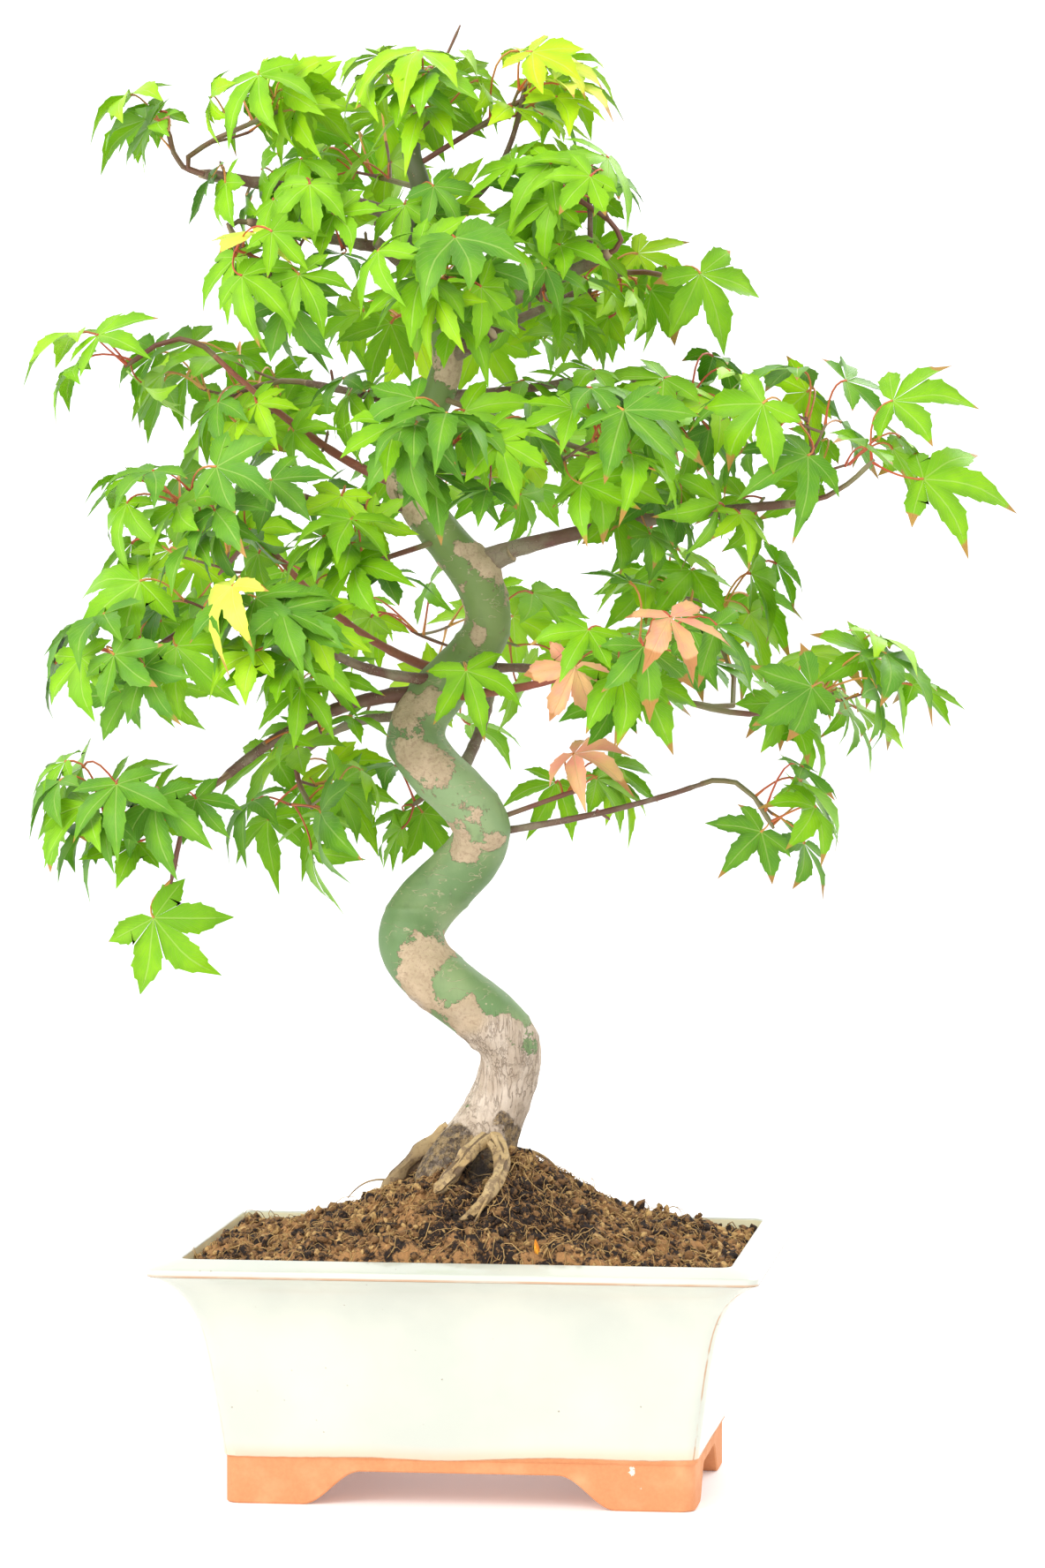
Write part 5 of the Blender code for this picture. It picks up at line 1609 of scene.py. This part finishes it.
def bark_finish(settings):
    """Green bark, cork in ragged patches over it, soil that clings to the foot, and a painted shadow under
    the arching root.
    """
    mix = Recipe("green_and_corky_bark", settings.green)
    fine = mix.noise(0.0016, 4.0, 0.65)
    ragged = mix.noise(0.0045, 5.0, 0.7)
    streak = mix.noise(0.01, 3.0, 0.6, (0.6, 0.6, 1.6))
    cork = mix.stored("cork") + (ragged - 0.5) * 1.7 + (streak - 0.5) * 0.8 + (fine - 0.5) * 0.6
    cork = cork.rise(0.47, 0.55)
    scratch = abs(mix.noise(0.011, 3.0, 0.6, (0.55, 0.55, 1.5)) - 0.5).rise(0.01, 0.002)
    scratch = scratch * mix.noise(0.012).rise(0.46, 0.58)
    fissure = abs(mix.noise(0.0024, 3.0, 0.6, (1, 1, 0.1)) - 0.5).rise(0.04, 0.006)
    fissure = fissure * (0.35 + 0.65 * mix.noise(0.007, 2.0).rise(0.36, 0.56)) * mix.stored("old")
    dust = (mix.stored("dust") + (ragged - 0.5) * 1.3).rise(0.36, 0.6) * (0.82 + 0.18 * fine.rise(0.4, 0.6))
    clods = mix.noise(0.003, 5.0, 0.75).rise(0.44, 0.58)
    height = cork * (0.5 + fine) + scratch * 0.3 + mix.noise(0.0009, 2.0) * 0.12 - fissure * 1.2
    height = height + dust * mix.noise(0.0022, 4.0, 0.7) * 2.5
    colour = mix.layers(
        green_bark(mix, settings, scratch),
        (cork, corky_bark(mix, settings, fine, ragged, fissure)),
        (dust * 0.92, mix.blend(clods, (0.048, 0.027, 0.015), (0.3, 0.2, 0.085))),
        # painted black shadow under the arching root, on the trunk's foot
        (mix.near(*ROOT_SHADOW), SHADOW_BLACK),
    )
    return mix.finish(
        base_color=colour,
        roughness=0.52 + cork * 0.3 + fine * 0.08 + dust * 0.1,
        normal=mix.bump(height, 0.00035),
    )


def root_line(root, steps):
    """The path and radii of a surface root: a bow over the mound that arches by half a sine."""
    start, bend, end, r0, r1, arch = root
    path = bow((*start, 0.0), (*bend, 0.0), (*end, 0.0), steps)
    part = evenly(steps + 1)
    radii = r0 + (r1 - r0) * part
    lie = soil_height(path[:, 0], path[:, 1]) + ROOT_LIFT * radii + arch * np.sin(math.pi * part)
    hold = (1 - part) ** 3
    path[:, 2] = hold * ROOT_START + (1 - hold) * lie
    return path, radii


def thick_root(root, number):
    """A tube with flutes that wind by cosines of the turn, knots by a sine of its length, and grooves
    of noise along it."""
    path, radii = root_line(root, ROOT_STEPS)
    turn = corner_turns(ROOT_ROUND)
    part = evenly(len(path))[:, None]
    flutes = 0.17 * np.cos(2 * turn + 3 * part + number) + 0.11 * np.cos(5 * turn - 7 * part)
    flutes = flutes + 0.1 * np.sin(19 * part + number)
    radii = radii * (1 - 0.75 * ease(part[:, 0], 0.9, 1.0))
    grid, out = ringed(path, radii[:, None] * (1 + flutes), ROOT_ROUND)
    around = np.stack(np.broadcast_arrays(1.8 * np.cos(turn), 1.8 * np.sin(turn), 0.9 * part), axis=2)
    groove = ease(np.abs(rough_noise(around, 1.0, 2, 90 + number)), 0.16, 0.02)
    bumps = 0.00045 * rough_noise(grid * (1, 1, 0.6), 0.0035, 3, 60 + number) - 0.00035 * groove
    return shut(grid + out * bumps[..., None]), groove.ravel()


def roots():
    """The thick surface roots, and thin ones that are plain tapering tubes on bows."""
    made = [thick_root(root, number) for number, root in enumerate(ROOTS.values())]
    paths = [bow(*line, 12) for *line, _ in SIDE_ROOTS]
    radii = [np.linspace(radius, radius * 0.45, 13) for *_, radius in SIDE_ROOTS]
    thin = tubes(np.array(paths), np.array(radii), 7)
    made.append((thin, np.zeros(len(thin[0]))))
    vertices, faces = joined([shape for shape, _ in made])
    groove = np.concatenate([groove for _, groove in made])
    return vertices, faces, {"dust": dust_on(vertices), "groove": groove}


def root_finish(settings):
    """Tan root bark with brown flecks and dark grooves, and soil that clings near the ground."""
    mix = Recipe("root_bark", settings.root)
    fine = mix.noise(0.0014, 4.0, 0.65)
    groove = (mix.stored("groove") + (fine - 0.5) * 0.8).rise(0.35, 0.75)
    cling = (mix.stored("dust") * 0.55 + (mix.noise(0.004, 4.0, 0.7) - 0.5) * 1.6).rise(0.5, 0.68)
    colour = mix.layers(
        settings.root,
        (mix.noise(0.01, 4.0).rise(0.35, 0.7), (0.57, 0.42, 0.22)),
        (mix.noise(0.005).rise(0.52, 0.7) * 0.4, (0.2, 0.125, 0.06)),
        (fine.rise(0.55, 0.7) * 0.5, (0.16, 0.1, 0.055)),
        (mix.near(*DARK_ROOT) * 0.85, (0.19, 0.128, 0.058)),
        (groove * 0.8, (0.095, 0.056, 0.034)),
        (cling * 0.7, EARTH),
    )
    return mix.finish(base_color=colour, roughness=0.7 + fine * 0.2, normal=mix.bump(fine - groove, 0.0006))


class BONSAI_OT_trunk(bpy.types.Operator):
    """Makes the trunk's bark and the surface roots"""

    bl_idname = "bonsai.trunk"
    bl_label = "Trunk and roots"

    def execute(self, context):
        settings = context.scene.bonsai_bark
        bark, root = bark_finish(settings), root_finish(settings)
        vertices, faces, facts = bark_surface(settings.relief)
        add_piece("trunk_bark", vertices, faces, bark, ["trunk"], "green_bark", facts, crease=50)
        vertices, faces, facts = roots()
        add_piece("surface_roots", vertices, faces, root, list(ROOTS), "root_bark", facts, crease=50)
        return {"FINISHED"}


# Boughs


def limb(start, knee, tip, r0, r1, collar, number):
    """A tapering tube on a bow, with a collar at its foot, a ring-shaped swelling at each pair of old
    buds, and small lumps of noise. Its last ring is drawn in to a cut end."""
    path = bow(start, knee, tip, LIMB_STEPS)
    part = evenly(LIMB_STEPS + 1)
    length = np.linalg.norm(np.diff(path, axis=0), axis=1).sum()
    radii = r0 + (r1 - r0) * part + collar * r0 * np.exp(-COLLAR_FALL * part)
    away = (part * length + 0.006 * (number % 3)) % BUD_SPACING - BUD_SPACING / 2
    radii += 0.16 * r1 * np.exp(-((away / BUD_SWELLING) ** 2))
    radii[-1] *= 0.72
    grid, out = ringed(path, radii, LIMB_ROUND)
    grid = grid + out * (0.1 * r1 * rough_noise(grid, 0.003, 2, 70 + number))[..., None]
    return shut(grid), np.repeat(ease(part, 0.985, 1.0), LIMB_ROUND)


def bough_finish(settings):
    """Dark bark, redder on some boughs, with olive and purple patches, pale cracks and tan cut ends."""
    mix = Recipe("bough_bark", settings.bough)
    fine = mix.noise(0.0012, 4.0, 0.65)
    pale = abs(mix.noise(0.004) - 0.5).rise(0.02, 0.004) * mix.noise(0.01).rise(0.45, 0.6)
    colour = mix.layers(
        settings.bough,
        (mix.noise(0.018).rise(0.4, 0.66), (0.23, 0.19, 0.12)),
        (mix.noise(0.007).rise(0.55, 0.75) * 0.6, (0.17, 0.055, 0.055)),
        (pale * 0.6, (0.42, 0.33, 0.23)),
        (fine.rise(0.55, 0.72) * 0.35, (0.055, 0.03, 0.022)),
        (mix.stored("red") * (0.5 + 0.4 * mix.noise(0.02)), (0.34, 0.07, 0.038)),
        (mix.stored("cut") * 0.9, (0.58, 0.42, 0.26)),
    )
    return mix.finish(base_color=colour, roughness=0.5 + fine * 0.25, normal=mix.bump(fine + pale, 0.0003))


class BONSAI_OT_boughs(bpy.types.Operator):
    """Makes the boughs and the stubs that pruning left"""

    bl_idname = "bonsai.boughs"
    bl_label = "Boughs"

    def execute(self, context):
        rows = []
        for height, knee, tip, r0, r1 in BOUGHS.values():
            rows.append((trunk_point(height), knee, tip, r0, r1, COLLAR))
        for start, knee, tip, r0, r1 in STUBS:
            start = trunk_point(start) if isinstance(start, float) else start
            rows.append((start, knee, tip, r0, r1, STUB_COLLAR))
        limbs = [limb(*row, number) for number, row in enumerate(rows)]
        vertices, faces = joined([shape for shape, _ in limbs])
        reddish = [float("red" in name or "far" in name) for name in BOUGHS] + [0.0] * len(STUBS)
        red = np.repeat(reddish, [len(cut) for _, cut in limbs])
        facts = {"cut": np.concatenate([cut for _, cut in limbs]), "red": red}
        finish = bough_finish(context.scene.bonsai_bark)
        add_piece("boughs", vertices, faces, finish, list(BOUGHS), "bough_bark", facts, crease=50)
        return {"FINISHED"}


# Twigs, stalks and leaves


def grow_crown(settings):
    """Every mass: first the solids' own twigs and leaves, in their order and from their seeds, then
    smaller leaves on finer twigs in the same spaces and on side shoots, by the same rule."""
    crown = Crown([trunk_tube(SKIN)] + [bough_tube(bough, SKIN) for bough in BOUGHS.values()])
    carriers = [lone[0][0] for lone in LONE_LEAVES.values()] + [row[0] for row in FOLIAGE.values()]
    sides = {carrier: [-1, 1] if carriers.count(carrier) > 1 else [0] for carrier in set(carriers)}
    masses = {}
    for name, lone in LONE_LEAVES.items():
        masses[name] = lone_mass(lone, sides[lone[0][0]].pop())
        settle(name, masses[name], crown)
    for index, (name, (carrier, _, _, _)) in enumerate(FOLIAGE.items()):
        masses[name] = grow(name, index, sides[carrier].pop(), crown)
        crown.forget(name)
        settle(name, masses[name], crown)
    sizes = (settings.least, settings.most)
    for index, name in enumerate(FOLIAGE):
        twigs, leaves = masses[name]
        rng = np.random.default_rng(FINER_SEED + index)
        buds = [bud for path, _ in twigs for bud in buds_along(along_path(path, 6)[1:])]
        wanted = round(settings.finer * FOLIAGE[name][3])
        leaf_out(name, twigs, leaves, buds, wanted, sizes, FINER_SHARE, rng, crown)
    for index, (name, (carrier, centre, half, wanted)) in enumerate(SPRAYS.items()):
        rng = np.random.default_rng(SPRAY_SEED + index)
        twigs = spurs(bough_path(BOUGHS[carrier]), np.array(centre), np.array(half), rng)
        buds = [bud for path, _ in twigs for bud in buds_along(path)]
        masses[name] = (twigs, [])
        leaf_out(name, *masses[name], buds, wanted, sizes, FINER_SHARE, rng, crown)
    return masses


def spurs(path, centre, half, rng):
    """Short shoots that leave a bough at even steps, each to its own side."""
    fine = along_path(path, 26)
    made = []
    for point, after in zip(fine[4:-2:SPUR_SPACING], fine[5::SPUR_SPACING]):
        ahead = unit(after - point)
        aside = unit(np.cross(ahead, rng.normal(size=3)))
        if within(point[None], centre, half):
            tip = point + ahead * SPUR_REACH[0] + aside * SPUR_REACH[1]
            made.append((np.array([point, tip]), TWIG_RADIUS))
    return made


def lone_mass(lone, number):
    """A few leaves at given places, on one stem that ends behind them."""
    carrier = lone[0][0]
    heart = np.mean([leaf[1] for leaf in lone], axis=0)
    back = unit(heart - bough_path(BOUGHS[carrier])[-1]) if carrier in BOUGHS else unit((0, -1, 0))
    stem = stem_of(carrier, heart - STALK_LENGTH * 0.8 * back, number)
    node = stem[-1] - unit(stem[-1] - stem[-2]) * BUD_LENGTH
    leaves = []
    for _, base, ahead, face, length in lone:
        ahead = unit(ahead)
        face = unit(np.array(face) - ahead * (np.array(face) @ ahead))
        leaves.append((np.array(base), ahead, face, length, node))
    return [(stem, np.linspace(*STEM_RADIUS, len(stem)))], leaves


def settle(name, mass, crown):
    for twig in mass[0]:
        crown.add(twig_mesh(twig), name, "twig")
    for leaf in mass[1]:
        crown.add(leaf_mesh(leaf), name, "leaf")


def twig_tubes(masses):
    """Each twig from its own points, its foot sunk in what bears it, with a little bow between
    bends and a bud at its end."""
    paths, radii = [], []
    part = evenly(TWIG_STEPS)
    for number, (twigs, _) in enumerate(masses.values()):
        for order, (path, thick) in enumerate(twigs):
            path = np.array(path)
            path[0] -= unit(path[1] - path[0]) * (TWIG_SINK if order == 0 else 0.0004)
            fine = along_path(path, TWIG_STEPS)
            if len(path) == 2:
                aside = unit(np.cross(path[1] - path[0], (math.sin(order), math.cos(number + order), 0.4)))
                reach = np.linalg.norm(path[1] - path[0])
                fine += np.sin(math.pi * part)[:, None] * aside * reach * TWIG_BOW
            paths.append(fine)
            radii.append(np.interp(part, evenly(len(thick)), thick))
    paths, radii = np.array(paths), np.array(radii)
    radii = radii * (1 + 0.3 * np.exp(-(((part - 0.93) / 0.06) ** 2)))
    radii[:, -1] *= 0.5
    return tubes(paths, radii, 6)


def stalk_tubes(leaves):
    """Each stalk leaves its node and comes into the blade in line with the middle lobe: a bow whose
    knee lies behind the blade, thicker at both ends."""
    base, ahead, node = (np.array([leaf[k] for leaf in leaves]) for k in (0, 1, 4))
    gap = np.linalg.norm(base - node, axis=1)[:, None]
    knee = base - ahead * gap * 0.45
    t = evenly(STALK_STEPS)[None, :, None]
    paths = (1 - t) ** 2 * node[:, None] + 2 * t * (1 - t) * knee[:, None] + t**2 * base[:, None]
    thin, wider = STALK_RADII
    radii = np.broadcast_to(thin + wider * (2 * t[0, :, 0] - 1) ** 6, paths.shape[:2])
    return tubes(paths, radii, 4)


def lobe_outlines(count, rng):
    """Each lobe flat: its angle, its reach, and t and w of its points. Along its own axis, t runs
    from the leaf's base to the lobe's tip, and across it, w is the half width at each tooth."""
    angle = np.radians(LOBE_ANGLES) + np.radians(rng.normal(size=(count, 5)) * 3.0)
    reach = np.array(LOBE_LENGTHS) * rng.uniform(0.9, 1.03, (count, 5))
    reach[:, 2] = rng.uniform(0.96, 1.0, count)
    depth = rng.uniform(0.31, 0.4, (count, 1))
    t = np.zeros((count, 5, 20))
    w = np.zeros((count, 5, 20))
    t[:, :, 1:5] = np.array(RIB) * reach[..., None]
    t[:, :, 5] = reach
    slim = rng.uniform(0.8, 1.08, (count, 1, 1)) * (0.35 + 0.65 * reach[..., None])
    apart = np.diff(angle, axis=1) / 2
    outer = np.full((count, 1), math.radians(HEEL_ANGLE))
    for start, sign, half in ((6, -1, np.hstack([outer, apart])), (13, 1, np.hstack([apart, outer]))):
        t[:, :, start + 1 : start + 7] = np.array(TOOTH_AT) * reach[..., None]
        w[:, :, start + 1 : start + 7] = sign * np.array(TOOTH_WIDE) * slim
        notch = np.repeat(depth, 5, axis=1)
        notch[:, 0 if sign < 0 else -1] = HEEL_REACH
        t[:, :, start] = notch * np.cos(half)
        w[:, :, start] = sign * notch * np.sin(half)
    return angle[..., None], reach[..., None], t, w


def blades(leaves, fold, rng):
    """Leaves as sheets of five lobes, all at once.

    The sheet sinks by t squared, so the tips droop, and rises with w, so that each lobe folds along
    its rib. A sine of t ripples it, and each tip bends aside by the square of t beyond the notch.
    """
    count = len(leaves)
    base, ahead, face = (np.array([leaf[k] for leaf in leaves])[:, None, None] for k in (0, 1, 2))
    length = np.array([leaf[3] for leaf in leaves])[:, None, None, None]
    across = np.cross(face, ahead)
    angle, reach, t, w = lobe_outlines(count, rng)
    beyond = np.maximum(t - NOTCH, 0.0)
    sag = (0.08 + 0.5 * rng.random((count, 1, 1)) ** 1.6) * t**2
    sag = sag + rng.uniform(-0.2, 1.1, (count, 5, 1)) * beyond**2
    lift = fold * rng.uniform(0.5, 1.5, (count, 1, 1)) * np.abs(w) + rng.normal(0.0, 0.22, (count, 5, 1)) * w
    ripple = 0.012 * np.sin(9 * t + rng.uniform(0, 6, (count, 5, 1))) * np.minimum(beyond * 6, 1)
    w = w + rng.normal(size=(count, 5, 1)) * 0.3 * beyond**2
    forward = (t * np.cos(angle) - w * np.sin(angle))[..., None]
    sideways = (t * np.sin(angle) + w * np.cos(angle))[..., None]
    up = (lift - sag + ripple)[..., None]
    vertices = base + length * (forward * ahead + sideways * across + up * face)
    side = np.array([0.0] * 6 + [-1.0] * 7 + [1.0] * 7)
    uv = np.stack([t / reach, np.broadcast_to(side, t.shape)], axis=-1)
    lobes = 20 * np.arange(count * 5)[:, None, None]
    faces = [(lobes + np.array(block)).reshape(-1, len(block[0])) for block in (THREES, FIVES)]
    return vertices.reshape(-1, 3), faces, uv.reshape(-1, 2)


def leaf_finish(name, tint, other, tips):
    """A plain tint that wanders a little to another, with painted shade of the fold towards a lobe's
    edges, a paler rib and side veins, and dry tips, of which there are more to the right."""
    mix = Recipe(name, tint)
    pattern = mix.node("ShaderNodeUVMap", {"uv_map": "pattern"})
    along = mix.axis("X", pattern)
    beside = abs(mix.axis("Y", pattern))
    mottle = mix.noise(0.012)
    # painted shade where each lobe folds up towards its edges
    shade = beside.rise(0.2, 0.9) * (0.15 + 0.45 * mix.noise(0.02, 2.0).rise(0.4, 0.6))
    rib = beside.rise(0.1, 0.02) * along.rise(1.0, 0.75)
    vein = rib.most((along * 60.0 - beside * 22.0).sine().rise(0.9, 1.0) * 0.45)
    pale = tuple(0.55 * part + 0.45 * over for part, over in zip(tint, (0.5, 0.62, 0.2)))
    tips = tips - 0.15 * (mix.axis("X") - CENTRE[0]).rise(0.02, 0.09)
    dry = (along + (mix.noise(0.035) - 0.5) * 0.9 + (mottle - 0.5) * 0.3).rise(tips, tips + 0.05)
    colour = mix.layers(
        tint,
        (mottle.rise(0.32, 0.68), other),
        (shade, shaded(other, 0.66)),
        (vein * 0.7, pale),
        (dry * 0.85, (0.46, 0.2, 0.06)),
    )
    return mix.finish(
        base_color=colour,
        roughness=0.34 + mottle * 0.18,
        specular_ior_level=0.22,
        normal=mix.bump(vein * -0.5 + mix.noise(0.003) * 0.2, 0.0003),
    )


def stem_finish(name, tint, other, size):
    """A young stem: its tint wanders to another, with fine lengthwise grain."""
    mix = Recipe(name, tint)
    fine = mix.noise(0.0009)
    wander = mix.noise(size, 3.0).rise(0.4, 0.62)
    colour = mix.layers(tint, (wander, other), (fine.rise(0.55, 0.7) * 0.25, shaded(tint, 0.5)))
    return mix.finish(base_color=colour, roughness=0.42 + fine * 0.2, normal=mix.bump(fine, 0.0002))


def tint_numbers(masses, rng):
    """Deals a tint to each leaf: one near the top or in a young mass is younger, one at the rear is paler as
    a painted glow of light through it, and it strays a little. The leaf nearest to each of some places in the
    front view gets an odd tint."""
    places = np.array([leaf[0] for _, leaves in masses.values() for leaf in leaves])
    owners = np.repeat(list(masses), [len(leaves) for _, leaves in masses.values()])
    high = np.maximum(places[:, 2] - HIGH_FROM, 0.0)
    # paler to the rear: painted glow of light through the rear leaves
    young = MIDDLE_TINT + REAR_GLOW * places[:, 1] + YOUNG_HIGH * high
    young += YOUNG_MASS * np.isin(owners, LIME_MASSES) + rng.normal(0.0, TINT_STRAY, len(places))
    tints = np.clip(np.floor(young), 0, 3).astype(int)
    tints[(owners == "foliage_top_right") & (rng.random(len(places)) < TURNING_SHARE)] = YELLOW
    seen_x = places[:, 0] + VIEW_SLANT * places[:, 1]
    for tint, x, z in ODD_LEAVES:
        away = np.hypot(seen_x - x, places[:, 2] - z) + np.maximum(places[:, 1], 0.0)
        tints[np.argmin(away + (owners == "foliage_trunk_front"))] = tint
    return tints


class BONSAI_OT_foliage(bpy.types.Operator):
    """Grows the twigs, stalks and leaves of every mass"""

    bl_idname = "bonsai.foliage"
    bl_label = "Foliage"

    def execute(self, context):
        settings, bark = context.scene.bonsai_foliage, context.scene.bonsai_bark
        masses = grow_crown(settings)
        wood = stem_finish("twig_bark", bark.twig, (0.23, 0.2, 0.095), 0.03)
        red = stem_finish("leaf_stalks", settings.stalk, (0.62, 0.3, 0.07), 0.05)
        add_piece("twigs", *twig_tubes(masses), wood, FOLIAGE_NODES, "bough_bark", crease=60)
        leaves = [leaf for _, mass in masses.values() for leaf in mass]
        add_piece("leaf_stalks", *stalk_tubes(leaves), red, FOLIAGE_NODES, "green_leaf", crease=60)
        rng = np.random.default_rng(SEED)
        tints = tint_numbers(masses, rng)
        for tint, (name, other) in enumerate(WANDERS.items()):
            chosen = [leaf for leaf, number in zip(leaves, tints) if number == tint]
            if not chosen:
                continue
            finish = leaf_finish(f"leaf_{name}", getattr(settings, name), other, DRY_FROM[tint >= YELLOW])
            fold = settings.fold * (WITHERED_FOLD if tint == WITHERED else 1.0)
            vertices, faces, uv = blades(chosen, fold, rng)
            slot = "lime_leaf" if name in ("lime", "yellow") else "green_leaf"
            add_piece(f"leaves_{name}", vertices, faces, finish, FOLIAGE_NODES, slot, uv=uv)
        return {"FINISHED"}


# Stage


def floor_surface():
    """A wide flat disc: rings of growing radius round the pot, at the height of its feet."""
    turn = np.linspace(0, 2 * math.pi, 97)[:-1]
    radii = np.array([0.02, 0.3, 0.8, 2.0, 5.0, 12.0])[:, None]
    flat = np.stack([radii * np.cos(turn), radii * np.sin(turn), 0 * radii * turn], axis=2)
    numbers = numbered(flat)
    return flat.reshape(-1, 3), [quads_between(numbers)[:, ::-1], numbers[:1]]


def floor_finish(settings):
    """A pale even floor, with a faint glow under the pot so that its shade stays light."""
    mix = Recipe("studio_floor", settings.floor)
    return mix.finish(
        base_color=mix.blend(mix.noise(0.4, 2.0) * 0.3, settings.floor, shaded(settings.floor, 0.99)),
        roughness=0.6,
        emission_color=mix.blend(mix.near((0, 0, 0), 0.2), (0, 0, 0), (0.22, 0.24, 0.26)),
        emission_strength=1.0,
        normal=mix.bump(mix.noise(0.003), 0.00005),
    )


def add_floor(settings):
    vertices, faces = floor_surface()
    mesh = bpy.data.meshes.new("floor")
    corners = [face.tolist() for block in faces for face in block]
    mesh.from_pydata((vertices + CENTRE).tolist(), [], corners)
    mesh.materials.append(floor_finish(settings))
    floor = bpy.data.objects.new("floor", mesh)
    bpy.context.scene.collection.objects.link(floor)


def add_world(strength):
    """Even white light from all sides."""
    world = bpy.data.worlds.new("white_studio")
    world.use_nodes = True
    background = world.node_tree.nodes["Background"]
    background.inputs["Color"].default_value = (1, 1, 1, 1)
    background.inputs["Strength"].default_value = strength
    bpy.context.scene.world = world


def aimed(name, data, place, aim):
    """A lamp or camera at a place, turned to the aim."""
    made = bpy.data.objects.new(name, data)
    bpy.context.scene.collection.objects.link(made)
    made.location = Vector(place)
    made.rotation_euler = (Vector(aim) - made.location).to_track_quat("-Z", "Y").to_euler()
    return made


def lamp(name, place, aim, size, power):
    light = bpy.data.lights.new(name, "AREA")
    light.shape = "RECTANGLE"
    light.size, light.size_y = size
    light.energy = power
    aimed(name, light, place, aim)


class BONSAI_OT_stage(bpy.types.Operator):
    """Makes the pale floor, the soft light and the camera"""

    bl_idname = "bonsai.stage"
    bl_label = "Stage"

    def execute(self, context):
        settings = context.scene.bonsai_stage
        add_floor(settings)
        add_world(settings.sky)
        aim = CENTRE + np.array(settings.aim)
        lamp("key_light", aim + (-1.1, -1.6, 1.2), aim, (1.4, 1.4), settings.key)
        lamp("rear_light", aim + (0.9, 1.5, 1.3), aim, (1.4, 1.0), settings.rim)
        camera = bpy.data.cameras.new("camera")
        camera.lens = settings.lens
        camera.clip_end = 60.0
        flat = math.cos(settings.above)
        way = (math.sin(settings.around) * flat, -math.cos(settings.around) * flat, math.sin(settings.above))
        context.scene.camera = aimed("camera", camera, aim + np.array(way) * settings.distance, aim)
        context.scene.view_settings.view_transform = "Standard"
        return {"FINISHED"}


class BONSAI_PT_panel(bpy.types.Panel):
    """Lists what can be made, with its sizes and colours"""

    bl_idname = "BONSAI_PT_panel"
    bl_label = "Maple bonsai"
    bl_space_type = "VIEW_3D"
    bl_region_type = "UI"
    bl_category = "Bonsai"

    def draw(self, context):
        for operator, name in PANEL_ROWS:
            box = self.layout.box()
            box.operator(operator.bl_idname)
            settings = getattr(context.scene, name)
            for key in settings.__annotations__:
                box.prop(settings, key)


PANEL_ROWS = (
    (BONSAI_OT_stage, "bonsai_stage"),
    (BONSAI_OT_pot, "bonsai_pot"),
    (BONSAI_OT_soil, "bonsai_soil"),
    (BONSAI_OT_trunk, "bonsai_bark"),
    (BONSAI_OT_boughs, "bonsai_bark"),
    (BONSAI_OT_foliage, "bonsai_foliage"),
)
OPERATORS = tuple(operator for operator, _ in PANEL_ROWS)
CLASSES = (*SETTINGS.values(), *OPERATORS, BONSAI_PT_panel)


def register():
    for made in CLASSES:
        bpy.utils.register_class(made)
    for name, settings in SETTINGS.items():
        setattr(bpy.types.Scene, name, PointerProperty(type=settings))


def unregister():
    for name in SETTINGS:
        delattr(bpy.types.Scene, name)
    for made in reversed(CLASSES):
        bpy.utils.unregister_class(made)


def main():
    register()
    for operator in OPERATORS:
        getattr(bpy.ops.bonsai, operator.bl_idname.partition(".")[2])()


if __name__ == "__main__":
    main()
